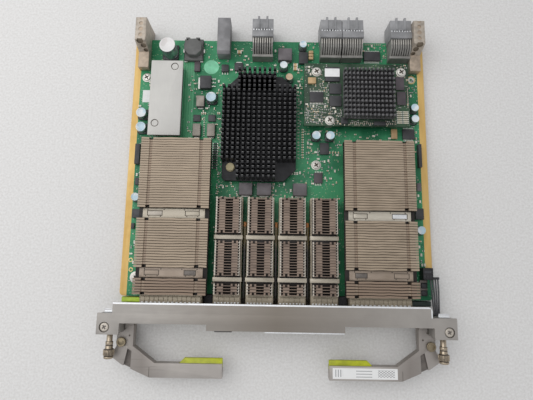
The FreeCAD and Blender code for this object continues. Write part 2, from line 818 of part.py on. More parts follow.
def riding_sink(label, middle, width, top, base, fins, window, pedestal, wall, notch):
    """A heat sink that rides on a cage: base, pedestal through the window, and groups of cross fins."""
    half = width / 2
    height, pitch, thickness, groups = fins
    first = groups[0][0]
    last = groups[-1][0] + groups[-1][1]
    sink = Body()
    sink.pad("XY", top, base, rectangle((middle - half, middle + half), (first, last)))
    reach = window[0] - d.pedestal_play
    sink.pad("XY", top - wall - d.pedestal_drop, wall + d.pedestal_drop,
             rectangle((middle - reach, middle + reach),
                       (window[1] + d.pedestal_play, window[2] - d.pedestal_play)))
    if notch:
        bites = []
        for (start, length), (next_start, _) in zip(groups, groups[1:]):
            for side in (-1, 1):
                across = (middle + side * notch, middle + side * (half + d.overcut))
                bites.append(rectangle(across, (start + length, next_start)))
        sink.pocket("XY", top + base, base, *bites)
    for start, length in groups:
        fin = sink.pad("XY", top + base, height, rectangle((middle - half, middle + half),
                                                           (start, start + thickness)))
        sink.pattern(fin, "Y", pitch, copies(length - thickness, pitch))
    place(sink.body, label)


def strap(middle, y, width, top, bottom, under, length, slot):
    """A spring strap over a heat sink, with a leg down each side of the cage."""
    half = width / 2
    outer = half + d.clip_sheet
    clip = Body()
    profile = [(middle - outer, bottom), (middle - half, bottom), (middle - half, under),
               (middle + half, under),
               (middle + half, bottom), (middle + outer, bottom), (middle + outer, top),
               (middle - outer, top)]
    clip.pad("XZ", -(y - length / 2), length, profile, backwards=True)
    if slot:
        spots = [around(middle + side * width / 4, y, slot, length / 3) for side in (-1, 1)]
        clip.pocket("XY", top, d.clip_sheet, *spots)
    return clip.body


def sinks_and_clips():
    large_groups = [(d.large_sink_front, d.large_front_group)]
    large_groups.append((d.large_sink_front + d.large_front_group + d.large_clip_gap, d.large_middle_group))
    large_groups.append((large_sink_rear - d.large_rear_group, d.large_rear_group))
    large_fins = (d.large_fin_height, d.large_fin_pitch, d.large_fin, large_groups)
    window = (d.large_width / 2 - d.window_margin, d.large_sink_front + d.window_margin,
              large_sink_rear - d.window_margin - d.large_socket_depth)
    under = large_top + d.large_sink_base + d.sink_rise + d.clip_play
    for side, middle in LARGE_BAYS.items():
        riding_sink(side + "_large_heatsink", middle, d.large_sink_width, large_top, d.large_sink_base,
                    large_fins,
                    window, d.pedestal_drop, d.large_wall, d.large_width / 2 - d.clip_side_gap)
        straps = [strap(middle, start + length + d.large_clip_gap / 2, d.large_width, under + d.clip_sheet,
                        large_top - d.large_clip_leg, under, d.large_clip_gap - 2 * d.clip_side_gap,
                        d.large_clip_slot)
                  for start, length in large_groups[:2]]
        place(grouped(straps), side + "_large_clips")
    small_groups = [(d.small_sink_front, d.small_front_group)]
    small_groups.append((d.small_sink_front + d.small_front_group + d.small_clip_gap, d.small_middle_group))
    small_groups.append((small_sink_rear - d.small_rear_group, d.small_rear_group))
    small_fins = (d.small_fin_height, d.small_fin_pitch, d.small_fin, small_groups)
    window = (d.small_width / 2 - d.window_margin, d.small_sink_front + d.window_margin,
              small_sink_rear - d.window_margin - d.small_socket_depth)
    under = small_top + d.small_sink_base + d.sink_rise + d.clip_play
    straps = []
    for number, middle in SMALL_BAYS.items():
        riding_sink(f"small_heatsink_{number}", middle, d.small_sink_width, small_top, d.small_sink_base,
                    small_fins,
                    window, d.pedestal_drop, d.small_wall, None)
        for start, length in small_groups[:2]:
            straps.append(strap(middle, start + length + d.small_clip_gap / 2, d.small_width,
                                under + d.clip_sheet,
                                small_top - d.small_clip_leg, under, d.small_clip_length, None))
    place(grouped(straps), "small_clips")


def light_pipes():
    low = board_top + d.pipe_level
    high = low + d.pipe_height
    foot = d.pipe_length - d.pipe_height
    profile = [(small_cage_front, low), (foot, low), (foot, board_top), (d.pipe_length, board_top),
               (d.pipe_length, high), (small_cage_front, high)]
    pipes = []
    for middle in pipe_places():
        pipe = Body()
        pipe.pad("YZ", middle - d.pipe_width / 2, d.pipe_width, profile)
        pipes.append(pipe.body)
    place(grouped(pipes), "light_pipes")


def foam_blocks():
    reach = (d.large_spread - d.large_width / 2 + d.small_pitch * 1.5 + d.small_width / 2) / 2
    blocks = []
    for side in (-1, 1):
        middle = d.bay_shift + side * reach
        blocks.append(box((middle - d.foam_width / 2, middle + d.foam_width / 2),
                          (side_front + d.panel_face, d.foam_depth), (board_top, board_top + d.foam_height)))
    place(grouped(blocks), "port_foam")


def main_chip():
    place(block_on(d.chip_x, front_edge + d.chip_y, board_top, d.chip_side, d.chip_side, d.chip_height),
          "main_chip")
    bind(nodes["main_chip"], "Placement.Base.x", d.chip_x - d.chip_side / 2)
    bind(nodes["main_chip"], "Placement.Base.y", front_edge + d.chip_y - d.chip_side / 2)
    bind(nodes["main_chip"], "Placement.Base.z", board_top)


def main_heatsink():
    """The black pin heat sink: a wide field of pins with a narrower run of pins before and behind it."""
    left = d.chip_x - d.main_field_width / 2
    right = d.chip_x + d.main_field_width / 2
    field_front = d.chip_y - d.main_field_depth / 2
    field_rear = d.chip_y + d.main_field_depth / 2
    front = field_front - d.main_foot_depth
    rear = field_rear + d.main_neck_depth
    neck_left = left + 3 * d.main_pitch_across
    neck_right = neck_left + 6 * d.main_pitch_across + d.main_pin
    low = board_top + d.chip_height
    top = low + d.main_base
    edge = d.main_pin
    sink = Body()
    sink.pad("XY", low, d.main_base,
             [(left, front + edge), (left + edge, front), (right - d.main_corner, front),
              (right, field_front),
              (right, field_rear), (neck_right, field_rear + d.main_shoulder), (neck_right, rear),
              (neck_left, rear), (neck_left, field_rear + d.main_shoulder), (left, field_rear)])
    field_rows = (d.main_pitch_along, copies(d.main_field_depth - d.main_pin, d.main_pitch_along))
    spare = d.main_pitch_along * copies(d.main_foot_depth - d.main_pitch_along, d.main_pitch_along)
    long_rows = (d.main_pitch_along, copies(rear - field_front + spare - d.main_pin, d.main_pitch_along))
    runs = [(left, field_front, 3, field_rows), (neck_left, field_front - spare, 7, long_rows),
            (neck_left + 7 * d.main_pitch_across, field_front, 4, field_rows)]
    for x, y, columns, rows in runs:
        pin = sink.pad("XY", top, d.main_pin_height, rectangle((x, x + d.main_pin), (y, y + d.main_pin)))
        sink.grid(pin, (d.main_pitch_across, columns), rows)
    place(sink.body, "main_heatsink")


def mezzanine():
    """The raised board with its stand-offs, connector, chip and pin heat sink."""
    under = board_top + d.mezzanine_stand
    top = under + d.mezzanine_sheet
    deck = block_on(d.mezzanine_x, d.mezzanine_y, under, d.mezzanine_width, d.mezzanine_depth,
                    d.mezzanine_sheet)
    place(grouped([deck]), "mezzanine_board")
    stands = [block_on(as_size(x), as_size(y), board_top, d.stand_width, d.stand_width, d.mezzanine_stand)
              for x, y in STAND_PLACES]
    place(grouped(stands), "mezzanine_standoffs")
    link_y = d.mezzanine_y + d.mezzanine_depth / 2 - d.link_setback
    link = block_on(d.mezzanine_x, link_y, board_top, d.link_length, d.link_width, d.mezzanine_stand)
    place(grouped([link]), "mezzanine_connector")
    chip = block_on(d.mezzanine_sink_x, d.mezzanine_sink_y, top, d.mezzanine_chip, d.mezzanine_chip,
                    d.mezzanine_chip_height)
    place(grouped([chip]), "mezzanine_chip")
    low = top + d.mezzanine_chip_height
    left = d.mezzanine_sink_x - d.mezzanine_sink_width / 2
    front = d.mezzanine_sink_y - d.mezzanine_sink_depth / 2
    sink = Body()
    sink.pad("XY", low, d.mezzanine_sink_base,
             around(d.mezzanine_sink_x, d.mezzanine_sink_y, d.mezzanine_sink_width, d.mezzanine_sink_depth))
    pin = sink.pad("XY", low + d.mezzanine_sink_base, d.mezzanine_pin_height,
                   rectangle((left, left + d.mezzanine_pin), (front, front + d.mezzanine_pin)))
    columns = copies(d.mezzanine_sink_width - d.mezzanine_pin, d.mezzanine_pitch_across)
    rows = copies(d.mezzanine_sink_depth - d.mezzanine_pin, d.mezzanine_pitch_along)
    sink.grid(pin, (d.mezzanine_pitch_across, columns), (d.mezzanine_pitch_along, rows))
    place(sink.body, "mezzanine_heatsink")
    chips = [block_on(as_size(x), as_size(y), top, width, depth, height)
             for x, y, width, depth, height in MEZZANINE_PACKAGES]
    place(grouped(chips), "mezzanine_packages")


def power_module():
    low = board_top + d.power_stand
    deck = low + d.power_sheet
    core_top = deck + d.power_core
    width = d.power_width - d.power_margin
    depth = d.power_depth - d.power_margin
    carrier = block_on(d.power_x, d.power_y, low, width, depth, d.power_sheet)
    pins = [carrier]
    for side in (-1, 1):
        for end in (-1, 1):
            x = d.power_x + side * (width / 2 - d.power_pin_inset)
            y = d.power_y + end * (depth / 2 - d.power_pin_inset)
            pins.append(block_on(x, y, board_top, d.power_pin, d.power_pin, d.power_stand))
    place(joined_up(*pins), "power_module_board")
    core = block_on(d.power_x, d.power_y, deck, width - d.power_margin, depth - 2 * d.power_margin,
                    d.power_core)
    place(grouped([core]), "power_module_core")
    plate = block_on(d.power_x, d.power_y, core_top, d.power_width, d.power_depth, d.power_plate)
    place(grouped([plate]), "power_module_plate")


def backplane_housing(middle):
    """A signal connector's housing: the bar on the board and the mating block behind the edge."""
    half = d.connector_width / 2
    bar_front = d.board_depth - d.connector_seat
    bar_rear = bar_front + d.connector_bar
    rear = d.board_depth + d.connector_overhang - d.connector_rib_reach
    top = board_top + d.connector_height
    deck = top - d.connector_step
    low = board_top - d.connector_drop
    edge = d.board_depth + d.edge_clearance
    housing = Body()
    housing.pad("YZ", middle - half, d.connector_width,
                [(bar_front, board_top), (edge, board_top), (edge, low), (rear, low), (rear, deck),
                 (bar_rear, deck),
                 (bar_rear, top), (bar_front, top)])
    first = middle - 2 * d.wafer_pitch
    near = bar_rear + d.clip_side_gap
    slit = housing.pocket("XY", deck, deck - low, around(first, near + d.connector_slot / 2, d.wafer_sheet,
                                                         d.connector_slot))
    housing.pattern(slit, "X", d.wafer_pitch, 5)
    for side in (-1, 1):
        rib = (middle + side * d.connector_rib_spread - d.connector_rib / 2,
               middle + side * d.connector_rib_spread + d.connector_rib / 2)
        housing.pad("XY", deck - d.connector_rib, d.connector_rib + d.connector_step / 2,
                    rectangle(rib, (near + d.connector_slot, d.board_depth + d.connector_overhang)))
    reach = half - d.connector_step
    for side in (-1, 1):
        mouth = rectangle((middle + side * d.connector_rib / 2, middle + side * reach),
                          (low + d.connector_step, deck - d.connector_step))
        housing.pocket("XZ", -rear, d.connector_bar, mouth, backwards=True)
    return housing.body


def backplane_wafers(middle):
    """A signal connector's row of upright wafers behind an organiser plate."""
    half = d.connector_width / 2
    front = d.board_depth - d.connector_seat - d.wafer_depth
    rear = front + d.wafer_depth
    top = board_top + d.connector_height - d.connector_step
    inner = front + d.organiser
    comb = Body()
    comb.pad("XY", board_top, d.connector_height - d.organiser_drop,
             rectangle((middle - half, middle + half), (front, inner)))
    start = middle - 2.5 * d.wafer_pitch - d.wafer_sheet / 2
    wafer = comb.pad("YZ", start, d.wafer_sheet, [(inner, board_top), (rear, board_top), (rear, top),
                                                  (rear - d.connector_seat, top),
                                                  (inner, top - d.wafer_slope)])
    comb.pattern(wafer, "X", d.wafer_pitch, 6)
    return comb.body


def backplane_connectors():
    combs = []
    for number, x in enumerate(CONNECTOR_PLACES, 1):
        place(backplane_housing(as_size(x)), f"backplane_housing_{number}")
        combs.append(backplane_wafers(as_size(x)))
    place(grouped(combs), "backplane_wafers")


def power_inlet():
    left = d.power_inlet_x - d.power_inlet_width / 2
    front = d.board_depth - d.power_inlet_seat
    rear = d.board_depth + d.connector_overhang
    edge = d.board_depth + d.edge_clearance
    low = board_top - d.connector_drop
    top = board_top + d.power_inlet_height
    chamfer = d.power_inlet_chamfer
    inlet = Body()
    inlet.pad("YZ", left, d.power_inlet_width, [(front, board_top), (edge, board_top), (edge, low),
                                                (rear, low),
                                               (rear, top), (front + chamfer, top), (front, top - chamfer)])
    wall = d.power_inlet_wall
    slots = []
    for step in (-1, 0, 1):
        middle = d.power_inlet_x + step * d.power_inlet_width / 3.4
        slots.append(rectangle((middle - d.power_inlet_slot / 2, middle + d.power_inlet_slot / 2),
                               (low + wall, top - wall)))
    inlet.pocket("XZ", -rear, d.connector_overhang - wall, *slots, backwards=True)
    place(inlet.body, "power_connector")


def guide_modules():
    """Cast guide blocks on the rear corners, with a bore for the backplane's guide pin."""
    middle = d.board_width / 2 - d.guide_inset
    left = middle - d.guide_width / 2
    rear = d.board_depth + d.guide_overhang
    top = board_top + d.guide_height
    step = board_top + d.guide_foot_height
    crest = rear - d.guide_top
    edge = d.board_depth + d.edge_clearance
    heel = crest - d.guide_slope
    guide = Body()
    guide.pad("YZ", left, d.guide_width, [(heel - d.guide_foot, board_top), (edge, board_top), (edge, 0),
                                          (rear, 0),
                                         (rear, top), (crest, top), (heel, step),
                                         (heel - d.guide_foot, step)])
    guide.pocket("XZ", -rear, d.guide_bore_depth, (middle, board_top + d.guide_bore_height, d.guide_bore),
                 backwards=True)
    place(guide.body, "right_guide_module")
    twin("right_guide_module", "left_guide_module")


def loose_parts():
    choke = Body()
    choke.pad("XY", board_top, d.choke_base, around(d.choke_x, d.choke_y, d.choke_width, d.choke_depth))
    choke.pad("XY", board_top + d.choke_base, d.choke_height - d.choke_base,
              octagon(d.choke_x, d.choke_y, d.choke_cap))
    place(choke.body, "line_choke")
    cans = []
    for x, y, radius in CANS:
        side = 2 * (d.can_foot_margin + radius)
        foot = block_on(as_size(x), as_size(y), board_top, side, side, d.can_foot_height)
        shell = post(x, y, (board_top + d.can_foot_height, board_top + d.can_height), as_size(radius))
        cans.append(joined_up(foot, shell))
    cans.append(post(*BULK_PLACE, (board_top, board_top + d.bulk_height), d.bulk_radius))
    place(grouped(cans), "can_capacitors")
    coils = [block_on(as_size(x), as_size(y), board_top, width, depth, height)
             for x, y, width, depth, height in INDUCTORS]
    place(grouped(coils), "power_inductors")
    chips = [block_on(as_size(x), as_size(y), board_top, width, depth, height)
             for x, y, width, depth, height in PACKAGES]
    place(grouped(chips), "board_packages")


def lever_switch():
    """The switch behind the right lever's claw, its header on the board and the wires between them."""
    outer = half_panel - d.seat_inset - d.seat_wall - d.switch_play
    rear = ear_rear + d.switch_play
    low = d.lever_bottom
    switch = box((outer - d.switch_width, outer), (rear - d.switch_depth, rear), (low, lever_top))
    place(grouped([switch]), "lever_switch")
    header = block_on(d.header_x, d.header_y, board_top, d.header_width, d.header_depth, d.header_height)
    place(grouped([header]), "switch_header")
    low = board_top + d.lead_height
    level = (low, low + d.lead_thickness)
    face = d.header_x + d.header_width / 2
    bend_y = d.header_y - d.lead_bend_setback
    outer_bend = d.lead_bend + d.lead_width
    arc = cut(post(face, bend_y, level, outer_bend), post(face, bend_y, level, d.lead_bend))
    for ring in (arc.Base, arc.Tool):
        ring.Angle = 90
    run = box((face + d.lead_bend, face + outer_bend), (rear, bend_y), level)
    place(joined_up(arc, run), "switch_lead")


GROUPS = (main_board, front_panel, handle_seats, levers, lever_pins, captive_screws, cages, sockets,
          sinks_and_clips,
          light_pipes, foam_blocks, main_chip, main_heatsink, mezzanine, power_module, backplane_connectors,
          power_inlet, guide_modules, loose_parts, lever_switch)
for make in GROUPS:
    make()
    doc.recompute()

for thing in doc.Objects:
    if "Invalid" in thing.State or "Error" in thing.State:
        raise RuntimeError(f"{thing.Label} ({thing.Name}) did not build: {thing.State}")
for label, node in nodes.items():
    if node.Shape.isNull() or not node.Shape.isValid() or node.Shape.Volume <= 0:
        raise RuntimeError(f"{label} has no sound shape")
os.makedirs("parts", exist_ok=True)
for label, node in nodes.items():
    node.Shape.exportStep(f"parts/{label}.step")
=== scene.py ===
import json
import math
import random
import bpy
from mathutils import Matrix, Vector


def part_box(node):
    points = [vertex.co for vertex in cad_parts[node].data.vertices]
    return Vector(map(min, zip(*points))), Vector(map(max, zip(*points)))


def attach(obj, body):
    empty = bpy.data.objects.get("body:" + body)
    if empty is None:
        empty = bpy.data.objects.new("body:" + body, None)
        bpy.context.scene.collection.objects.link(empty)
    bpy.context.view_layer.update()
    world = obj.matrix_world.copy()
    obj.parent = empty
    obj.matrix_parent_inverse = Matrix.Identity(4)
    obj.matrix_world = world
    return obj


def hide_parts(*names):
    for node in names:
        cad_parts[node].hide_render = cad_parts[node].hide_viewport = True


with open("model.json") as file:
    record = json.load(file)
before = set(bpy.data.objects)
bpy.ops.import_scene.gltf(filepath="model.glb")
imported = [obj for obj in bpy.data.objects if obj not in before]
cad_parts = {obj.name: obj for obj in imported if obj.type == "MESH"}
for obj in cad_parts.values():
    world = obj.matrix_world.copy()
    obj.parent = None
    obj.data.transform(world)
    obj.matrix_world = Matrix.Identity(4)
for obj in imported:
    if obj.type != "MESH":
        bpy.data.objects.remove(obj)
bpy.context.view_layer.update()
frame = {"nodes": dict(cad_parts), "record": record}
nodes = frame["nodes"]
bodies = frame["record"]["behaviour"]["bodies"]
body_of_node = {name: body for body, names in bodies.items() for name in names}
slot_of_node = {row["node"]: row["material_slot"] for row in frame["record"]["subparts"]}

# Sizes and places are in millimetres, unless they go to Blender, which takes metres.
MM = 0.001
FRONT = -80.0  # the board's front edge, in the frame
BOARD_TOP = 5.8
DECK_TOP = 14.8  # the mezzanine board
SIDES = ("left", "right")
SMALL_CAGES = [f"small_cage_{number}" for number in range(1, 5)]
LARGE_CAGES = [side + "_large_cage" for side in SIDES]
SMALL_CAGE_TOP = 16.0
LARGE_CAGE_TOP = 19.4
ABOVE = 1.0  # how far a cutter stands over the face that it goes into
FACING = 0.9  # a face looks along an axis from this share of its normal
SAME_POINT = 0.005  # points nearer than this are one
luck = random.Random(11)
bpy.context.tool_settings.mesh_select_mode = (False, False, True)


def spot(x, y, z):
    """A point given in millimetres right of the middle, behind the board's front edge and above the table."""
    return Vector((x, y + FRONT, z)) * MM


def clear():
    bpy.ops.object.select_all(action="DESELECT")


def only(piece):
    clear()
    piece.select_set(True)
    bpy.context.view_layer.objects.active = piece


def settle(piece, name):
    """Name a piece and put its place into its mesh."""
    only(piece)
    piece.name = name
    piece.data.name = name
    bpy.ops.object.transform_apply(location=True, rotation=True, scale=True)
    return piece


def block(name, low, high):
    """A box between two corners, as a start."""
    clear()
    a = spot(*low)
    b = spot(*high)
    bpy.ops.mesh.primitive_cube_add(size=1, location=(a + b) / 2)
    piece = bpy.context.object
    piece.scale = b - a
    return settle(piece, name)


def drum(name, x, y, low, high, radius, sides=32):
    """An upright cylinder, as a start."""
    return rod(name, (x, y, (low + high) / 2), radius, high - low, sides, (0, 0, 0))


def rod(name, place, radius, length, sides, turn):
    """A cylinder about its middle, turned by angles in radians, as a start."""
    clear()
    bpy.ops.mesh.primitive_cylinder_add(vertices=sides, radius=radius * MM, depth=length * MM,
                                        location=spot(*place), rotation=turn)
    return settle(bpy.context.object, name)


def local(point):
    """A point of a mesh, measured as spot takes it."""
    point = point / MM
    return Vector((point.x, point.y - FRONT, point.z))


def all_faces(middle, facing):
    return True


def top_faces(middle, facing):
    return facing.z > FACING


def rear_faces(middle, facing):
    return facing.y > FACING


def front_faces(middle, facing):
    return facing.y < -FACING


def pick(piece, test):
    """Go into edit mode with the faces selected for which test(centre, normal) holds."""
    if bpy.context.mode != "OBJECT":
        bpy.ops.object.mode_set(mode="OBJECT")
    only(piece)
    mesh = piece.data
    mesh.vertices.foreach_set("select", [False] * len(mesh.vertices))
    mesh.edges.foreach_set("select", [False] * len(mesh.edges))
    for face in mesh.polygons:
        face.select = bool(test(local(face.center), face.normal))
    bpy.ops.object.mode_set(mode="EDIT")


def done():
    """Leave edit mode."""
    bpy.ops.object.mode_set(mode="OBJECT")
    bpy.context.tool_settings.mesh_select_mode = (False, False, True)


def squeeze(piece, test, middle, x=1, y=1, z=1):
    """Scale the points for which test(place) holds, about a middle."""
    only(piece)
    mesh = piece.data
    bpy.context.tool_settings.mesh_select_mode = (True, False, False)
    mesh.polygons.foreach_set("select", [False] * len(mesh.polygons))
    mesh.edges.foreach_set("select", [False] * len(mesh.edges))
    for point in mesh.vertices:
        point.select = bool(test(local(point.co)))
    bpy.ops.object.mode_set(mode="EDIT")
    bpy.ops.transform.resize(value=(x, y, z), center_override=spot(*middle))
    done()


def pull(piece, test, x=0, y=0, z=0):
    """Extrude the chosen faces by a vector."""
    pick(piece, test)
    bpy.ops.mesh.extrude_region_move(TRANSFORM_OT_translate={"value": Vector((x, y, z)) * MM})
    done()


def shift(piece, test, x=0, y=0, z=0):
    """Move the chosen faces by a vector."""
    pick(piece, test)
    bpy.ops.transform.translate(value=Vector((x, y, z)) * MM)
    done()


def inset(piece, test, width, depth=0):
    """Inset the chosen faces, and raise or sink them by a depth."""
    pick(piece, test)
    bpy.ops.mesh.inset(thickness=width * MM, depth=depth * MM)
    done()


def taper(piece, x, y):
    """Scale the top of a piece about its own middle."""
    pick(piece, top_faces)
    bpy.ops.transform.resize(value=(x, y, 1))
    done()


def break_edges(piece, width, segments=1):
    """Bevel the edges of a piece's top."""
    pick(piece, top_faces)
    bpy.ops.mesh.bevel(offset=width * MM, segments=segments, affect="EDGES")
    done()


def slice_at(piece, point, normal, drop=False):
    """Cut all the faces along a plane, and with drop take off what lies beyond it."""
    pick(piece, all_faces)
    bpy.ops.mesh.bisect(plane_co=spot(*point), plane_no=normal, clear_outer=drop, use_fill=drop)
    done()


def modify(piece, kind, **settings):
    """Add a modifier and apply it."""
    only(piece)
    modifier = piece.modifiers.new(kind.title(), kind)
    for name, value in settings.items():
        setattr(modifier, name, value)
    bpy.ops.object.modifier_apply(modifier=modifier.name)
    return piece


def soften(piece, width, segments=2, angle=35):
    """Round the edges and smooth what is nearly flat."""
    modify(piece, "BEVEL", width=width * MM, segments=segments, limit_method="ANGLE",
           angle_limit=math.radians(angle), harden_normals=False)
    only(piece)
    bpy.ops.object.shade_smooth_by_angle(angle=math.radians(angle))
    return piece


def repeat(piece, count, x=0, y=0, z=0):
    """Make a row of a piece, at even steps."""
    return modify(piece, "ARRAY", count=count, use_relative_offset=False, use_constant_offset=True,
                  constant_offset_displace=Vector((x, y, z)) * MM)


def twin_of(piece, name):
    """A copy with its own mesh."""
    twin = piece.copy()
    twin.data = piece.data.copy()
    bpy.context.scene.collection.objects.link(twin)
    twin.name = name
    twin.data.name = name
    return twin


def copy_of(piece, name, x=0, y=0, z=0, turn=0, about=(0, 0)):
    """A copy turned about an upright axis by an angle in degrees, and then moved."""
    twin = twin_of(piece, name)
    pivot = spot(about[0], about[1], 0)
    twin.data.transform(Matrix.Translation(Vector((x, y, z)) * MM) @ Matrix.Translation(pivot)
                        @ Matrix.Rotation(math.radians(turn), 4, "Z") @ Matrix.Translation(-pivot))
    return twin


def mirror_of(piece, name):
    """A copy on the other side of the middle, with its faces turned outwards again."""
    twin = twin_of(piece, name)
    twin.scale = (-1, 1, 1)
    settle(twin, name)
    pick(twin, all_faces)
    bpy.ops.mesh.normals_make_consistent(inside=False)
    done()
    return twin


def close_up(piece):
    """Merge the points of a piece in edit mode, turn its faces outwards and smooth it."""
    bpy.ops.mesh.select_all(action="SELECT")
    bpy.ops.mesh.remove_doubles(threshold=SAME_POINT * MM)
    bpy.ops.mesh.normals_make_consistent(inside=False)
    done()
    only(piece)
    bpy.ops.object.shade_smooth_by_angle(angle=math.radians(40))
    return piece


def unite(name, pieces):
    """Join pieces into one mesh."""
    clear()
    for piece in pieces:
        piece.select_set(True)
    bpy.context.view_layer.objects.active = pieces[0]
    if len(pieces) > 1:
        bpy.ops.object.join()
    whole = bpy.context.view_layer.objects.active
    whole.name = name
    whole.data.name = name
    return whole


def remove(piece):
    bpy.data.objects.remove(piece)


def cut_away(piece, cutter, *finish):
    """Cut one piece out of another. A finish given here goes on the cut faces."""
    if finish:
        wear(cutter, *finish)
    modify(piece, "BOOLEAN", operation="DIFFERENCE", solver="EXACT", material_mode="TRANSFER", object=cutter)
    remove(cutter)
    return piece


def wear(piece, *finishes):
    """Give a piece its materials."""
    piece.data.materials.clear()
    for finish in finishes:
        piece.data.materials.append(finish)
    return piece


def dab(piece, number, test):
    """Give the faces for which test(centre, normal) holds the material of that number."""
    for face in piece.data.polygons:
        if test(local(face.center), face.normal):
            face.material_index = number
    return piece


def plate(name, low, high, finish, width=0.12):
    """A box with rounded edges and a finish."""
    return wear(soften(block(name, low, high), width), finish)


def finished(node):
    """The piece that stands for a node."""
    return bpy.data.objects[node + "_finished"]


def top_of(node):
    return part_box(node)[1].z / MM


def corners(node):
    """Lowest and highest corner of a node, as spot takes them."""
    return [(c.x / MM, c.y / MM - FRONT, c.z / MM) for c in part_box(node)]


def fit(piece, body, slot, *replaced):
    """Let a piece ride on a body and let it stand for solids of the frame. The slot is not used."""
    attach(piece, body)
    if replaced:
        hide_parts(*replaced)
    return piece


def rounded(node, width, finish):
    """A copy of a node with its facets merged and its edges rounded, which stands for the node."""
    twin = twin_of(nodes[node], node + "_finished")
    twin.parent = None
    for key in list(twin.keys()):
        del twin[key]
    twin.matrix_world = Matrix.Identity(4)
    pick(twin, all_faces)
    bpy.ops.mesh.remove_doubles(threshold=2 * SAME_POINT * MM)
    bpy.ops.mesh.dissolve_limited(angle_limit=math.radians(1.0))
    done()
    wear(soften(twin, width), finish)
    return fit(twin, body_of_node[node], slot_of_node[node], node)


class Wire:
    """A socket of a material, so that shader maths is written as Python."""

    def __init__(self, paint, socket):
        self.paint = paint
        self.socket = socket

    def maths(self, operation, *values):
        return self.paint.node("ShaderNodeMath", {"operation": operation}, dict(enumerate(values)))

    def __add__(self, other):
        return self.maths("ADD", self, other)

    def __radd__(self, other):
        return self.maths("ADD", other, self)

    def __sub__(self, other):
        return self.maths("SUBTRACT", self, other)

    def __rsub__(self, other):
        return self.maths("SUBTRACT", other, self)

    def __mul__(self, other):
        return self.maths("MULTIPLY", self, other)

    def __rmul__(self, other):
        return self.maths("MULTIPLY", other, self)

    def __gt__(self, other):
        return self.maths("GREATER_THAN", self, other)

    def __lt__(self, other):
        return self.maths("LESS_THAN", self, other)

    def __abs__(self):
        return self.maths("ABSOLUTE", self)

    def __mod__(self, other):
        return self.maths("FLOORED_MODULO", self, other)


def tone(red, green, blue):
    """A colour as it should look on screen, in linear light."""
    shades = [value / 255 for value in (red, green, blue)]
    return [s / 12.92 if s <= 0.04045 else ((s + 0.055) / 1.055) ** 2.4 for s in shades] + [1.0]


def shade(colour, factor, lift=0.0):
    """A darker or lighter form of a colour."""
    return [min(1, c * factor + lift) for c in colour[:3]] + [1]


class Paint:
    """A material in the making."""

    def __init__(self, name, **fixed):
        self.material = bpy.data.materials.new(name)
        self.material.use_nodes = True
        self.tree = self.material.node_tree
        self.shader = self.tree.nodes["Principled BSDF"]
        for socket, value in fixed.items():
            self.shader.inputs[socket.replace("_", " ")].default_value = value
        self.coordinates = None

    def node(self, kind, settings=None, inputs=None, output=0):
        """A node with its settings and the values or links of its sockets; what it gives is the output."""
        made = self.tree.nodes.new(kind)
        for name, value in (settings or {}).items():
            setattr(made, name, value)
        for key, value in (inputs or {}).items():
            self.feed(made.inputs[key], value)
        return Wire(self, made.outputs[output])

    def feed(self, socket, value):
        if isinstance(value, Wire):
            self.tree.links.new(value.socket, socket)
        else:
            socket.default_value = value

    def where(self):
        """The place on the piece, in Object coordinates."""
        if self.coordinates is None:
            self.coordinates = self.node("ShaderNodeTexCoord", output=3)
        return self.coordinates

    def along(self, axis):
        """One coordinate of the place, in millimetres of the frame."""
        return self.node("ShaderNodeSeparateXYZ", None, {0: self.where()}, axis) * (1 / MM)

    def stretched(self, x=1, y=1, z=1, turn=0):
        return self.node("ShaderNodeMapping", None, {"Vector": self.where(), "Scale": (x, y, z),
                                                     "Rotation": (0, 0, math.radians(turn))})

    def noise(self, size, detail=3, place=None):
        """Soft noise with features about size millimetres wide."""
        return self.node("ShaderNodeTexNoise", None, {"Vector": place or self.where(), "Detail": detail,
                                                      "Scale": 1 / (size * MM), "Roughness": 0.55})

    def cells(self, size, output=0, place=None):
        """Irregular cells about size millimetres wide: the distance from their middles or a colour each."""
        return self.node("ShaderNodeTexVoronoi", {"feature": "F1"},
                         {"Vector": place or self.where(), "Scale": 1 / (size * MM)}, output)

    def mix(self, factor, one, two):
        """From one colour to another."""
        return self.node("ShaderNodeMix", {"data_type": "RGBA"}, {0: factor, 6: one, 7: two}, 2)

    def vary(self, noise, low, high):
        """A value between two bounds that follows a noise."""
        return self.span(noise, 0.3, 0.7, low, high)

    def span(self, value, low, high, to_low=0.0, to_high=1.0):
        """A value's stretch from low to high, mapped on to another."""
        return self.node("ShaderNodeMapRange", None, {0: value, 1: low, 2: high, 3: to_low, 4: to_high})

    def bump(self, height, strength=0.2, depth=0.1):
        return self.node("ShaderNodeBump", None, {"Strength": strength, "Distance": depth * MM,
                                                  "Height": height})

    def done(self, **varying):
        """Feed the shader with what changes over the surface."""
        for socket, value in varying.items():
            self.feed(self.shader.inputs[socket.replace("_", " ")], value)
        return self.material


def plastic(name, colour, rough=0.5, grain=0.35):
    """Moulded plastic: fine grain, faint mottling and dusty patches."""
    paint = Paint(name)
    mottle = paint.span(paint.noise(9, 4), 0.35, 0.65)
    base = paint.mix(mottle, shade(colour, 0.78), shade(colour, 1.22, 0.004))
    skin = paint.noise(grain, 2)
    return paint.done(Base_Color=base, Roughness=paint.vary(paint.noise(3, 4), rough - 0.1, rough + 0.1),
                      Normal=paint.bump(skin, 0.25, 0.04))


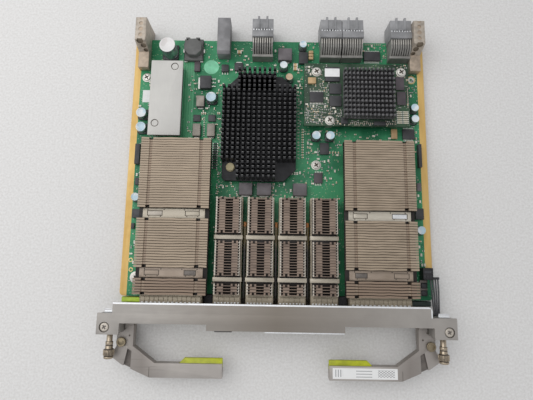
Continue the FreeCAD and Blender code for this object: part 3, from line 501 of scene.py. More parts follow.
def metal(name, colour, rough=0.35, brush=None, shine=0.85, spread=0.14, scratched=0.0, painted_shade=None):
    """Bare metal with faint stains, brush marks along one axis and, if asked, long scratches and a stretch
    of painted shade about a place to either side of the middle."""
    paint = Paint(name, Metallic=shine)
    stain = paint.vary(paint.noise(14, 5), 0, 1)
    base = paint.mix(stain, shade(colour, 1 - spread), shade(colour, 1 + spread))
    if painted_shade:
        place, reach, shade_tone = painted_shade
        # Painted shade: the colour goes over to a darker tone about the place, fading out over the reach.
        base = paint.mix(paint.span(abs(abs(paint.along(0)) - place), 0, reach, 1, 0), base, shade_tone)
    lines = paint.noise(0.5, 3, place=paint.stretched(*brush)) if brush else paint.noise(0.4, 3)
    height = lines
    if scratched:
        scratch = paint.span(paint.noise(1.6, 1, place=paint.stretched(0.05, 1, 1, 38)), 0.7, 0.74)
        base = paint.mix(scratch * scratched, base, shade(colour, 0.35))
        height = lines - scratch
    return paint.done(Base_Color=base, Roughness=paint.span(lines, 0.25, 0.75, rough - 0.1, rough + 0.12),
                      Normal=paint.bump(height, 0.2, 0.03))


def board_green(name, light, dark, gold_from=None, gold_end=None, painted_light_patch=None):
    """Solder mask over copper: pours, fine tracks in patches, plated holes, pale print and, on the main
    board, a ribbed patch beside the power module painted paler as light, and bare side strips, the right one
    ending behind the switch header."""
    paint = Paint(name, Specular_IOR_Level=0.35)
    x = paint.along(0)
    y = paint.along(1)
    patch = paint.node("ShaderNodeSeparateColor", None, {0: paint.cells(13, output=1)}, 0)
    track_pitch, track_width, few, many = 1.1, 0.42, 0.36, 0.62
    level = (x % track_pitch) < track_width
    upright = (y % track_pitch) < track_width
    slant = ((x + y) % 1.5) < 0.5
    tracks = level * (patch < few) + upright * (patch > many) + slant * (patch > few) * (patch < many)
    tracks = tracks * (paint.noise(17, 2) > 0.47)
    pours = paint.span(paint.noise(26, 2), 0.44, 0.56)
    holes = (paint.cells(2.3) < 0.15) * (paint.noise(12, 1) > 0.46)
    print_marks = (paint.cells(2.9, place=paint.stretched(1, 2.4, 1)) < 0.17) * (paint.noise(9, 1) > 0.5)
    base = paint.mix(pours, dark, light)
    base = paint.mix(tracks * 0.4, base, shade(light, 1.45, 0.008))
    base = paint.mix(holes * 0.8, base, tone(176, 188, 150))
    base = paint.mix(print_marks * 0.55, base, tone(206, 222, 204))
    rough = paint.vary(paint.noise(5, 4), 0.36, 0.52)
    height = tracks * 0.5 + pours * 0.3 - holes
    shine = 0.0
    if painted_light_patch:
        (left, right), (front, rear) = painted_light_patch
        # Painted light: the board beside the power module is made paler, with ribs.
        inside = (x > left) * (x < right) * (y > front) * (y < rear)
        ribs = (x % 1.9) < 0.5
        base = paint.mix(inside * (0.85 - 0.45 * ribs), base, tone(98, 170, 126))
    if gold_from:
        strip = (abs(x) > gold_from) * (1 - (x > 0) * (y < gold_end))
        smear = paint.noise(5, 4, place=paint.stretched(1, 0.12, 1))
        gold = paint.mix(paint.vary(smear, 0, 1), tone(208, 170, 100), tone(228, 194, 124))
        base = paint.mix(strip, base, gold)
        shine = strip * 0.3
        rough = rough + strip * 0.14
    return paint.done(Base_Color=base, Roughness=rough, Metallic=shine, Normal=paint.bump(height, 0.35, 0.05))


def fins_metal(name, light, dark, rough=0.42, top=None, front=None):
    """Thin plated sheet with handling marks. It has painted shade towards the root of fins whose top level is
    given, and is darker before a front line if that is given."""
    paint = Paint(name, Metallic=0.22)
    streak = paint.noise(2.6, 4, place=paint.stretched(0.25, 1, 1))
    cloud = paint.noise(24, 3)
    base = paint.mix(paint.span(streak * 0.6 + cloud * 0.4, 0.36, 0.64), dark, light)
    if front:
        base = paint.mix(paint.span(paint.along(1), front - 4, front + 4, 0.8, 0), base, tone(132, 112, 96))
    if top:
        # Painted shade towards the fins' root, darkest from three millimetres below their top downwards.
        base = paint.mix(paint.span(paint.along(2), top - 3.0, top - 0.3), tone(36, 30, 26), base)
    return paint.done(Base_Color=base, Roughness=paint.vary(streak, rough - 0.08, rough + 0.12),
                      Normal=paint.bump(streak, 0.2, 0.05))


def anodised(name, colour, rough):
    """Dyed aluminium with a little dust."""
    paint = Paint(name, Metallic=0.6, Specular_IOR_Level=0.15)
    base = paint.mix(paint.span(paint.noise(6, 5), 0.35, 0.7), colour, shade(colour, 1.4, 0.002))
    return paint.done(Base_Color=base, Roughness=paint.vary(paint.noise(0.7, 3), rough - 0.08, rough + 0.1),
                      Normal=paint.bump(paint.noise(0.3, 2), 0.15, 0.03))


def cast(name, colour, rough=0.45):
    """Die-cast metal with pits and soft stains."""
    paint = Paint(name, Metallic=0.45)
    stain = paint.noise(3.2, 5)
    pits = paint.span(paint.cells(1.1), 0.1, 0.3)
    base = paint.mix(paint.span(stain, 0.38, 0.62), shade(colour, 0.72), colour)
    return paint.done(Base_Color=base, Roughness=paint.vary(stain, rough - 0.08, rough + 0.12),
                      Normal=paint.bump(pits + stain * 0.6, 0.25, 0.06))


def amber(name):
    """Clear moulding that carries light: orange at its far end, olive next to it and dark towards the panel,
    with pale front ends."""
    paint = Paint(name, IOR=1.49, Transmission_Weight=0.15)
    y = paint.along(1) + paint.noise(3, 3) * 4
    base = paint.mix(paint.span(y, -44, -36), tone(48, 44, 36), tone(124, 108, 66))
    base = paint.mix(paint.span(y, -27.6, -26.4), base, tone(206, 132, 58))
    base = paint.mix(y < -94, base, tone(206, 210, 208))
    return paint.done(Base_Color=base, Roughness=paint.vary(paint.noise(2, 3), 0.2, 0.38))


def foam(name):
    """Open black foam."""
    paint = Paint(name)
    cell = paint.cells(0.7)
    base = paint.mix(paint.span(cell, 0.1, 0.6), tone(22, 22, 24), tone(46, 46, 48))
    return paint.done(Base_Color=base, Roughness=paint.span(cell, 0, 0.6, 0.95, 0.75),
                      Normal=paint.bump(cell, 0.6, 0.2))


def printed_label(name):
    """A white label with plain grey bars, lines and squares along its middle."""
    paint = Paint(name, Specular_IOR_Level=0.4)
    x = paint.along(0)
    y = paint.along(1)
    off_middle = abs(y + 128.6)
    bars = ((x % 1.7) < 0.7) * (x < 46) * (x > 40) * (off_middle < 2.4)
    lines = ((y % 1.9) < 0.55) * (x > 55) * (x < 66) * (off_middle < 2.6)
    squares = abs((x % 2.2 < 1.1) - (y % 1.6 < 0.8)) * (x > 70) * (x < 81.5) * (off_middle < 2.4)
    base = paint.mix((bars + lines + squares) * 0.7, tone(236, 236, 234), tone(120, 120, 124))
    base = paint.mix(paint.span(paint.noise(7, 4), 0.4, 0.7) * 0.1, base, tone(190, 186, 178))
    return paint.done(Base_Color=base, Roughness=paint.vary(paint.noise(1.2, 3), 0.42, 0.58))


def paper(name):
    """Plain white paper."""
    paint = Paint(name, Specular_IOR_Level=0.35)
    cloud = paint.noise(3, 4)
    base = paint.mix(paint.vary(cloud, 0, 1), tone(226, 226, 224), tone(240, 240, 238))
    return paint.done(Base_Color=base, Roughness=paint.vary(cloud, 0.5, 0.65))


def can_tops(name, one, two):
    """A pressed top, printed in part."""
    paint = Paint(name, Specular_IOR_Level=0.5)
    scuff = paint.noise(1.1, 4)
    base = paint.mix(paint.span(paint.noise(7.5, 1), 0.44, 0.52), one, two)
    base = paint.mix(paint.span(scuff, 0.35, 0.75) * 0.35, base, tone(206, 208, 210))
    return paint.done(Base_Color=base, Roughness=paint.vary(scuff, 0.28, 0.45))


FINISHES = {
    # The main board gets a patch of painted light beside the power module.
    "circuit_board": board_green("green_board", tone(56, 138, 94), tone(34, 108, 72), gold_from=108.9,
                                 gold_end=-56.8, painted_light_patch=((-79.0, -66.5), (40.0, 104.0))),
    # The panel metal has painted shade, darker towards the panel's middle.
    "panel_metal": metal("panel_metal", tone(162, 157, 151), 0.5, (0.03, 1, 1), 0.4, 0.08,
                         painted_shade=(0, 88, tone(130, 122, 112))),
    "seat_metal": cast("seat_metal", tone(164, 160, 154)),
    # The lever metal has painted shade, darker along the arms about 92 mm to either side of the middle.
    "lever_metal": metal("lever_metal", tone(174, 168, 162), 0.5, (0.06, 1, 1), 0.45, 0.08, scratched=0.3,
                         painted_shade=(92, 20, tone(144, 137, 131))),
    "tab_plastic": plastic("tab_plastic", tone(176, 182, 26), 0.4),
    "pin_brass": metal("pin_brass", tone(142, 130, 108), 0.35),
    "thumbscrew_metal": metal("thumbscrew_metal", tone(176, 162, 142), 0.28),
    "screw_steel": metal("screw_steel", tone(216, 212, 204), 0.32, shine=0.45),
    "cage_metal": fins_metal("cage_metal", tone(192, 180, 158), tone(164, 152, 132)),
    "clip_steel": fins_metal("clip_steel", tone(196, 187, 170), tone(174, 164, 146), 0.34),
    "black_heatsink": anodised("black_heatsink", tone(55, 55, 56), 0.5),
    # The wide fins' metal has painted shade towards their root.
    "fin_metal": fins_metal("large_fin_metal", tone(174, 157, 136), tone(150, 134, 115), 0.5, top=26.0,
                            front=-63.0),
    "light_pipe": amber("light_pipe"),
    "foam_black": foam("foam_black"),
    "chip_black": plastic("chip_black", tone(56, 56, 58), 0.5),
    "plate_metal": metal("plate_metal", tone(199, 197, 192), 0.62, (1, 0.05, 1), 0.2, 0.05),
    "core_black": plastic("core_black", tone(44, 44, 46), 0.6),
    "connector_grey": plastic("connector_grey", tone(140, 140, 141), 0.5),
    "wafer_plastic": plastic("wafer_plastic", tone(130, 128, 123), 0.5),
    "guide_metal": cast("guide_metal", tone(188, 177, 163)),
    "can_metal": metal("can_metal", tone(190, 194, 198), 0.3),
    "inductor_grey": plastic("inductor_grey", tone(104, 99, 101), 0.6, 0.6),
    "black_plastic": plastic("black_plastic", tone(38, 38, 40), 0.42),
    "wire_rubber": plastic("wire_rubber", tone(70, 70, 73), 0.24),
}
# The narrow fins' metal has painted shade towards their root.
small_fin_metal = fins_metal("small_fin_metal", tone(148, 129, 114), tone(112, 96, 85), 0.5, top=22.4)
tab_bright = fins_metal("tab_bright", tone(204, 196, 184), tone(168, 158, 144), 0.4)
deck_green = board_green("deck_green", tone(58, 84, 62), tone(34, 56, 40))
grey_sink = anodised("grey_sink", tone(98, 97, 98), 0.5)
label_white = printed_label("label_white")
dark_connector = plastic("dark_connector", tone(128, 127, 128), 0.48)
# Near-white: painted highlights on the panel's rim, end and lip, on the cage beads and in the connector
# slits; also the colour of the ear springs and one strap pane.
highlight_and_bright_steel = metal("highlight_and_bright_steel", tone(230, 231, 232), 0.3, shine=0.25)
solder = metal("solder", tone(214, 213, 206), 0.34, shine=0.35)
tan_ceramic = plastic("tan_ceramic", tone(186, 156, 114), 0.45)
brown_ceramic = plastic("brown_ceramic", tone(142, 112, 84), 0.45)
pale_ceramic = plastic("pale_ceramic", tone(214, 206, 186), 0.45)
purple_grey = plastic("purple_grey", tone(74, 66, 70), 0.5)
lime_gasket = plastic("lime_gasket", tone(186, 214, 70), 0.5)
# The lime gasket's colour as if in shade, painted.
shaded_gasket = plastic("shaded_gasket", tone(50, 64, 59), 0.5)
header_black = plastic("header_black", tone(26, 24, 27), 0.5)
disc_green = plastic("disc_green", tone(124, 200, 160), 0.6)
pad_gold = metal("pad_gold", tone(206, 186, 132), 0.34, shine=0.6)
foot_brown = cast("foot_brown", tone(186, 169, 150))
beige_core = plastic("beige_core", tone(150, 143, 132), 0.55, 0.6)
# A brown painted as shade inside the guides' round recesses.
hole_shade_brown = cast("hole_shade_brown", tone(140, 128, 112))
# A dark painted as shade inside recesses, cross slots, creases, grooves, windows, dents and holes; the small
# strap pins take it as their colour.
recess_shade_dark = metal("recess_shade_dark", tone(92, 84, 74), 0.55, shine=0.3)
# Pale grey painted as glints on the pins' rear bevels.
painted_glint = metal("painted_glint", tone(176, 176, 174), 0.4, shine=0.2)
# A cast grey: painted shade in the levers' grooves, the ear screws' seats and crosses and the plate's seats;
# also the switch carrier's and one strap pane's colour.
groove_grey = cast("groove_grey", tone(126, 119, 113))
khaki_head = metal("khaki_head", tone(172, 162, 128), 0.55, shine=0.3)
seam_brown = fins_metal("seam_brown", tone(160, 141, 122), tone(138, 121, 104), 0.5)
strap_brown = fins_metal("strap_brown", tone(176, 160, 144), tone(150, 134, 118), 0.36)
strap_pale = fins_metal("strap_pale", tone(216, 209, 194), tone(194, 186, 170), 0.34)
ear_steel = metal("ear_steel", tone(190, 182, 170), 0.4, shine=0.45)
choke_core = plastic("choke_core", tone(94, 94, 92), 0.6)

for name, node in nodes.items():
    wear(node, FINISHES[slot_of_node[name]])

# Rounding of the nodes that keep their form.
EDGES = {
    "front_panel": 0.45, "left_handle_seat": 0.4, "right_handle_seat": 0.4,
    "left_lever": 0.5, "right_lever": 0.5, "left_release_tab": 0.5, "right_release_tab": 0.5,
    "lever_pins": 0.35, "left_large_cage": 0.15, "right_large_cage": 0.15,
    "small_cage_1": 0.15, "small_cage_2": 0.15, "small_cage_3": 0.15, "small_cage_4": 0.15,
    "small_clips": 0.1, "left_guide_module": 0.5, "right_guide_module": 0.5,
    "backplane_housing_1": 0.2, "backplane_housing_2": 0.2, "backplane_housing_3": 0.2,
    "backplane_housing_4": 0.2, "power_connector": 0.4, "power_module_plate": 0.3, "power_module_core": 0.3,
    "power_module_board": 0.1, "main_board": 0.15, "mezzanine_board": 0.12, "board_packages": 0.2,
    "mezzanine_packages": 0.15, "power_inductors": 0.5, "line_choke": 0.5, "switch_header": 0.3,
    "lever_switch": 0.3, "port_foam": 0.4, "light_pipes": 0.3, "main_chip": 0.3, "mezzanine_chip": 0.2,
    "mezzanine_connector": 0.2, "mezzanine_standoffs": 0.3, "large_module_sockets": 0.2,
    "small_module_sockets": 0.2,
}
# Nodes with a finish of their own.
SPECIAL = {"mezzanine_board": deck_green, "power_connector": dark_connector, "line_choke": choke_core,
           "switch_header": header_black}
for name, width in EDGES.items():
    rounded(name, width, SPECIAL.get(name, FINISHES[slot_of_node[name]]))

FIN_SHEET = 0.4
FIN_FOLD = 0.45  # the height of the folded tops
NOTCH_SLOPE = 0.12


def folded_fin(name, ends, y, low, high, flange, tabs, notches=()):
    """One sheet fin: an upright wall whose top is folded back in tabs, with notches in its top edge."""
    fin = block(name, (ends[0], y, low), (ends[1], y + FIN_SHEET, high))
    slice_at(fin, (0, 0, high - FIN_FOLD), (0, 0, 1))
    for edge in sorted({e for tab in tabs for e in tab} - set(ends)):
        slice_at(fin, (edge, 0, 0), (1, 0, 0))
    pull(fin, lambda middle, facing: rear_faces(middle, facing) and middle.z > high - FIN_FOLD
         and any(a < middle.x < b for a, b in tabs), y=flange)
    for place, width, depth in notches:
        half = width / 2
        for reach in (-half - NOTCH_SLOPE, -half, half, half + NOTCH_SLOPE):
            slice_at(fin, (place + reach, 0, 0), (1, 0, 0))
        shift(fin, lambda middle, facing: abs(middle.x - place) < half and abs(facing.z) > FACING
              and middle.z > high - FIN_FOLD - 0.05, z=-depth)
    return fin


def finned_sink(node, base_top, foot, groups, finish, fin_kit, wave, edge_tabs=None, seams=None):
    """A heat sink with groups of sheet fins on one base, slightly out of line as bent sheet is. The foot is
    given by the cage's top, its half width, front and rear, and a group by its front, length and count."""
    (x0, y0, z0), (x1, y1, z1) = corners(node)
    middle = (x0 + x1) / 2
    cage_top, reach, front, rear = foot
    base = soften(block(node + "_plate", (x0, y0, cage_top), (x1, y1, base_top)), 0.25)
    pedestal = block(node + "_foot", (middle - reach, front, z0), (middle + reach, rear, cage_top + 0.2))
    soften(pedestal, 0.2)
    tabs, notches, mouths, flange = fin_kit(middle)
    fins = []
    for number, (start, length, count) in enumerate(groups):
        pitch = (length - flange - FIN_SHEET) / (count - 1)
        first = folded_fin(f"{node}_end_{number}", (x0, x1), start, base_top, z1, flange, tabs, mouths)
        last = copy_of(first, f"{node}_last_{number}", y=pitch * (count - 1))
        row = folded_fin(f"{node}_row_{number}", (x0, x1), start + pitch, base_top, z1, flange, tabs, notches)
        fins += [first, repeat(row, count - 2, y=pitch), last]
    sheet = unite(node + "_fins", fins)
    for edge in range(-5, 6):
        slice_at(sheet, (middle + edge * (x1 - x0) / 12, 0, 0), (1, 0, 0))
    bends = bpy.data.textures.new(node + "_bends", "CLOUDS")
    bends.noise_scale = 8 * MM
    modify(sheet, "DISPLACE", texture=bends, texture_coords="LOCAL", direction="Y", strength=wave * MM,
           mid_level=0.5)
    whole = wear(unite(node + "_finished", [base, pedestal, sheet]), finish, tab_bright, seam_brown)
    if edge_tabs:
        dab(whole, 1, lambda centre, facing: facing.z > 0.7 and centre.z > z1 - 0.2
            and abs(centre.x - middle) > edge_tabs)
    if seams:
        dab(whole, 2, lambda centre, facing: facing.z > 0.5 and centre.z > z1 - 1.2
            and abs(abs(centre.x - middle) - seams) < 1.1)
    return fit(whole, node, "fin_metal", node)


LARGE_SEAM = 18  # from the middle of a wide heat sink to its seams


def large_fin_kit(middle):
    """Tabs, notches, end mouths and flange of the wide fins."""
    seams = (middle - LARGE_SEAM, middle + LARGE_SEAM)
    return ([(middle - 25, middle + 25)], [(x, 2.0, 0.6) for x in seams], [(x, 2.8, 3.2) for x in seams], 1.0)


def small_fin_kit(middle):
    """Tabs, end mouths and flange of the narrow fins, which have no notches."""
    reaches = ((-8.9, -7.9), (-6.5, -2.2), (3.1, 7.4), (8.3, 8.9))
    tabs = [(middle + low, middle + high) for low, high in reaches]
    mouths = [(middle - 4.3, 1.5, 2.6), (middle + 5.2, 1.5, 2.6)]
    return tabs, [], mouths, 1.2


def riding_sinks():
    """The two wide and four narrow heat sinks that ride on the cages."""
    for side in SIDES:
        finned_sink(side + "_large_heatsink", base_top=21.0, foot=(LARGE_CAGE_TOP, 17.0, 7.3, 98.7),
                    groups=[(2.8, 10.9, 6), (21.3, 33.8, 19), (62.7, 50.5, 29)], finish=FINISHES["fin_metal"],
                    fin_kit=large_fin_kit, wave=0.9, seams=LARGE_SEAM)
    for number in range(1, 5):
        finned_sink(f"small_heatsink_{number}", base_top=17.4, foot=(SMALL_CAGE_TOP, 5.2, 7.7, 58.9),
                    groups=[(3.2, 7.4, 4), (16.2, 24.0, 13), (45.8, 25.6, 14)], finish=small_fin_metal,
                    fin_kit=small_fin_kit, wave=0.3, edge_tabs=7.8)


def pin_field(name, first, levels, side, count, pitch, finish, edge):
    """Square pins with broken top edges, painted glints at the back, in columns and rows from the left front
    one.
    """
    (left, front), (low, high) = first, levels
    pin = block(name, (left, front, low), (left + side, front + side, high))
    taper(pin, 0.96, 0.9)
    break_edges(pin, edge)
    wear(pin, finish, painted_glint)
    # A painted glint on the bevels that face back and up.
    dab(pin, 1, lambda middle, facing: facing.y > 0.3 and facing.z > 0.3)
    repeat(pin, count[0], x=pitch[0])
    return repeat(pin, count[1], y=pitch[1])


def trimmed_plate(name, low, high, trims):
    """A plate with corners taken off, each by a point on the cut and the direction of what goes."""
    part = block(name, low, high)
    for (x, y), (a, b) in trims:
        slice_at(part, (x, y, 0), (a, b, 0), drop=True)
    return soften(part, 0.3)


MAIN_SINK_PLATE = 3.0


def pin_sinks():
    """The two black pin heat sinks."""
    black = FINISHES["black_heatsink"]
    (x0, y0, low), (x1, y1, high) = corners("main_heatsink")
    top = low + MAIN_SINK_PLATE
    waist = 156.8  # where the wide field ends and the shoulders start
    field = trimmed_plate("main_sink_plate", (x0, y0, low), (x1, waist, top),
                          [((x0, y0 + 2.2), (-1, -1)), ((x1 - 9, y0), (14.2, -9))])
    shoulder = trimmed_plate("main_sink_shoulder", (x0, waist - 0.8, low), (x1, 167.6, top),
                             [((x0, waist), (-11, 13)), ((x1, waist), (11, 15))])
    neck = trimmed_plate("main_sink_neck", (-31.0, waist - 0.8, low), (-1.9, 170.3, top), [])
    parts = [wear(part, black) for part in (field, shoulder, neck)]
    across, along = 3.78, 3.43
    for name, column, row, count in (("main_pins", 0, 0, (15, 17)), ("main_front_pins", 3, -4, (8, 4)),
                                     ("main_back_pins", 3, 17, (8, 4))):
        first = (-42.0 + column * across, 99.4 + row * along)
        parts.append(pin_field(name, first, (top, high), 1.95, count, (across, along), black, 0.26))
    fit(unite("main_heatsink_finished", parts), "card", "black_heatsink", "main_heatsink")
    (x0, y0, low), (x1, y1, high) = corners("mezzanine_heatsink")
    top = low + 1.6
    base = plate("mezzanine_plate", (x0, y0, low), (x1, y1, top), grey_sink, 0.3)
    columns, rows, spare = 13, 11, 2.1  # spare is a pin's side and the margins
    pins = pin_field("mezzanine_pins", (x0 + 0.2, y0 + 0.2), (top, high), 1.7, (columns, rows),
                     ((x1 - x0 - spare) / (columns - 1), (y1 - y0 - spare) / (rows - 1)), grey_sink, 0.2)
    fit(unite("mezzanine_heatsink_finished", [base, pins]), "card", "black_heatsink", "mezzanine_heatsink")


# Places and radii.
CANS = [(-51.8, 150.2, 3.9), (-104.6, 136.9, 3.8), (-104.2, 125.6, 3.8), (3.6, 177.0, 2.9), (8.0, 167.2, 2.7),
        (18.6, 194.4, 2.8), (28.7, 120.9, 3.2), (39.3, 120.9, 3.2), (103.8, 143.8, 2.9), (103.8, 135.0, 2.9),
        (104.9, 50.3, 3.0), (-105.0, 71.8, 3.0)]
TAN_CAN = 4
CAN_HEIGHT = 7.0
CAN_FOOT = 1.3


def can(name, x, y, radius, height, top_finish):
    """A drawn can on a moulded foot: rolled shoulder, pressed top and a groove above the foot."""
    low = BOARD_TOP + CAN_FOOT
    high = BOARD_TOP + height
    groove = low + 1.0
    shell = drum(name, x, y, low, high, radius, 40)
    for level in (groove - 0.3, groove, groove + 0.3):
        slice_at(shell, (0, 0, level), (0, 0, 1))
    squeeze(shell, lambda place: abs(place.z - groove) < 0.05, (x, y, groove), x=0.93, y=0.93)
    inset(shell, top_faces, radius * 0.16)
    inset(shell, lambda middle, facing: top_faces(middle, facing)
          and abs(middle.x - x) + abs(middle.y - y) < 0.1, radius * 0.06, -0.25)
    soften(shell, 0.4, 3, 50)
    wear(shell, FINISHES["can_metal"], FINISHES["black_plastic"], top_finish)
    dab(shell, 2, lambda middle, facing: facing.z > 0.6 and middle.z > high - 0.8)
    reach = radius + 0.3
    base = block(name + "_foot", (x - reach, y - reach, BOARD_TOP), (x + reach, y + reach, low + 0.3))
    for side in (-1, 1):
        slice_at(base, (x + side * (radius - 0.9), y - reach, 0), (side, -1, 0), drop=True)
    return unite(name, [shell, wear(soften(base, 0.2), FINISHES["black_plastic"])])


def capacitors():
    """The can capacitors, one of them tan on top, and the tall one beside the power module."""
    pale = can_tops("pale_can_top", tone(186, 212, 224), tone(226, 232, 234))
    white = can_tops("white_can_top", tone(218, 212, 208), tone(230, 227, 224))
    tan = can_tops("tan_can_top", tone(186, 152, 116), tone(206, 176, 140))
    cans = [can(f"can_{number}", x, y, radius, CAN_HEIGHT, tan if number == TAN_CAN else pale)
            for number, (x, y, radius) in enumerate(CANS)]
    cans.append(can("bulk_can", -85.8, 188.6, 6.0, 13.7, white))
    fit(unite("can_capacitors_finished", cans), "card", "can_metal", "can_capacitors")


def cross_screw(name, x, y, low, radius, height, washer=0.0, arm=0.62, finish=FINISHES["screw_steel"],
                recess=recess_shade_dark):
    """A pan-head screw with a cross recess, whose arms are a share of the radius, and a washer if asked."""
    high = low + height
    head = wear(drum(name, x, y, low, high, radius, 36), finish)
    break_edges(head, radius * 0.3, 3)
    reach, half = radius * arm, radius * 0.15
    for turn in (34, 124):
        bit = block(name + "_bit", (x - reach, y - half, low + height * 0.5),
                    (x + reach, y + half, high + ABOVE))
        # The cross's cut faces take the recess finish, painted shade.
        cut_away(head, copy_of(bit, name + "_cut", turn=turn, about=(x, y)), recess)
        remove(bit)
    parts = [soften(head, 0.08, 1, 40)]
    if washer:
        ring = wear(drum(name + "_washer", x, y, low, low + 0.5, washer, 40), FINISHES["screw_steel"])
        inset(ring, top_faces, 0.35, 0.15)
        parts.append(soften(ring, 0.12, 2, 40))
    return unite(name, parts)


# Places, with the radii of heads and washers on the board.
BOARD_SCREWS = [(-103.7, 167.8, 3.0, 3.7), (29.2, 99.1, 3.0, 3.8), (-102.8, 13.2, 2.8, 4.4)]
DECK_SCREWS = [(28.6, 170.2), (93.1, 170.5), (38.4, 131.6)]


def screws():
    """The sunk ear screws, the washered board and mezzanine screws and the main heat sink's spring screw."""
    sunk = 1.1
    seat = top_of("front_panel") - sunk
    ears = [(side * 114.8, -18.6) for side in (-1, 1)]
    for x, y in ears:
        recess = drum("recess", x, y, seat, seat + sunk + ABOVE, 3.45, 40)
        # The seat walls get a grey painted as shade.
        cut_away(finished("front_panel"), recess, groove_grey)
    sets = {
        # The ear screws' crosses get the same grey, painted shade.
        "ear": [cross_screw(f"ear_screw_{number}", x, y, seat, 3.05, 1.05, arm=0.46, finish=ear_steel,
                            recess=groove_grey) for number, (x, y) in enumerate(ears)],
        "board": [cross_screw(f"board_screw_{number}", x, y, BOARD_TOP, radius, 1.7, washer)
                  for number, (x, y, radius, washer) in enumerate(BOARD_SCREWS, 1)],
        "mezzanine": [cross_screw(f"mezzanine_screw_{number}", x, y, DECK_TOP, 3.2, 2.0, 3.7)
                      for number, (x, y) in enumerate(DECK_SCREWS)],
    }
    for place, parts in sets.items():
        fit(unite(place + "_screws_finished", parts), "card", "screw_steel")
    x, y, low = -35.5, 95.2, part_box("main_heatsink")[0].z / MM + MAIN_SINK_PLATE
    stud = drum("spring_screw", x, y, low, low + 2.6, 2.9, 36)
    inset(stud, top_faces, 0.35, -0.12)
    collar = drum("spring_collar", x, y, low - 0.1, low + 1.2, 3.4, 36)
    inset(collar, top_faces, 0.2, 0.1)
    whole = unite("main_heatsink_screw_finished", [soften(stud, 0.12, 2), soften(collar, 0.2)])
    fit(wear(whole, khaki_head), "card", "pin_brass")


def captive_screws():
    """Thumbscrews: slotted end, knurled barrel, grooved sleeve and a plain shank."""
    (x0, y0, z0), (x1, y1, z1) = corners("left_captive_screw")
    x = (x0 + x1) / 2
    z = (z0 + z1) / 2
    start, sides = 3.4, 48
    screw = rod("left_captive_screw_finished", (x, (y0 + y1) / 2, z), start, y1 - y0, sides,
                (math.pi / 2, 0, 0))
    # Places from the end, and the radii there.
    rings = [(0, 2.7), (0.5, 3.2), (1.5, 3.2), (1.9, 2.6), (2.3, 3.35), (5.9, 3.35), (6.3, 2.9), (6.7, 2.5),
             (8.4, 2.5), (8.8, 2.15), (9.2, 2.5), (11.0, 2.5), (11.3, 1.95), (y1 - y0, 1.95)]
    grooves = ((1.6, 2.25), (5.95, 6.6), (8.45, 9.15), (11.02, 11.35))
    for level, _ in rings[1:-1]:
        slice_at(screw, (0, y0 + level, 0), (0, 1, 0))
    for level, reach in rings:
        squeeze(screw, lambda place: abs(place.y - y0 - level) < 0.04, (x, y0 + level, z), x=reach / start,
                z=reach / start)

    def on_barrel(middle, facing):
        return 2.4 < middle.y - y0 < 5.8 and abs(facing.y) < 0.3

    def raised(middle, facing):
        turn = (math.atan2(middle.z - z, middle.x - x) + math.pi) / (2 * math.pi)
        return on_barrel(middle, facing) and int(turn * sides) % 2 == 0

    # Faces in the grooves and the hollows between the knurl ridges, painted dark as shade.
    def painted_shade_faces(middle, facing):
        in_groove = any(low < middle.y - y0 < high for low, high in grooves)
        return in_groove or on_barrel(middle, facing) and math.hypot(middle.x - x, middle.z - z) < start

    pick(screw, raised)
    bpy.ops.mesh.extrude_faces_move(TRANSFORM_OT_shrink_fatten={"value": 0.28 * MM})
    done()
    cut_away(screw, block("driver_slot", (x - 4.5, y0 - ABOVE, z - 0.45), (x + 4.5, y0 + 1.1, z + 0.45)))
    soften(screw, 0.12, 1, 50)
    # The grooves and knurl hollows take painted shade.
    wear(screw, FINISHES["thumbscrew_metal"], recess_shade_dark)
    dab(screw, 1, painted_shade_faces)
    twin = mirror_of(screw, "right_captive_screw_finished")
    fit(screw, "left_captive_screw", "thumbscrew_metal", "left_captive_screw")
    fit(twin, "right_captive_screw", "thumbscrew_metal", "right_captive_screw")


CONNECTORS = (-12.9, 39.7, 56.3, 93.2)  # their middles
CONNECTOR_HALF = 8.0
WAFERS = 9
TIPS = 8


def connector_wafers():
    """Rows of grey wafers with a bright contact strip on each sloping edge, behind a closed front plate, and
    bright tips in the housings' tops, painted light for the light seen through the housings' slits."""
    grey = FINISHES["wafer_plastic"]
    bright = metal("contact_strip", tone(178, 174, 166), 0.36, shine=0.3)
    sets = []
    for number, middle in enumerate(CONNECTORS):
        front = block(f"organiser_{number}", (middle - CONNECTOR_HALF, 182.5, BOARD_TOP),
                      (middle + CONNECTOR_HALF, 184.6, 14.4))
        inset(front, front_faces, 0.8, -0.3)
        wear(soften(front, 0.2), grey)
        pitch = 2 * CONNECTOR_HALF / WAFERS
        x = middle - CONNECTOR_HALF + pitch / 2
        wafer = block(f"wafer_{number}", (x - 0.55, 184.5, BOARD_TOP), (x + 0.55, 196.5, 18.2))
        slice_at(wafer, (0, 184.5, 13.6), (0, -5.2, 9.0), drop=True)
        wear(soften(wafer, 0.08, 1), grey)
        strip = block(f"strip_{number}", (x - 0.42, 185.4, 14.0), (x + 0.42, 192.4, 14.5))
        shift(strip, rear_faces, z=3.95)
        pull(strip, rear_faces, y=3.4, z=0.05)
        wear(soften(strip, 0.1, 1), bright)
        sets += [front, repeat(wafer, WAFERS, x=pitch), repeat(strip, WAFERS, x=pitch)]
    fit(unite("backplane_wafers_finished", sets), "card", "wafer_plastic", "backplane_wafers")
    # Painted light: near-white tips stand for light seen through the housings' slits.
    tips = []
    for number, middle in enumerate(CONNECTORS):
        pitch = 2 * CONNECTOR_HALF / TIPS
        x = middle - CONNECTOR_HALF + pitch / 2
        tip = block(f"tip_{number}", (x - 0.5, 201.7, 18.6), (x + 0.5, 203.1, 18.9))
        taper(tip, 0.7, 0.8)
        tips.append(repeat(tip, TIPS, x=pitch))
    fit(wear(unite("painted_slit_light", tips), highlight_and_bright_steel), "card", "screw_steel")


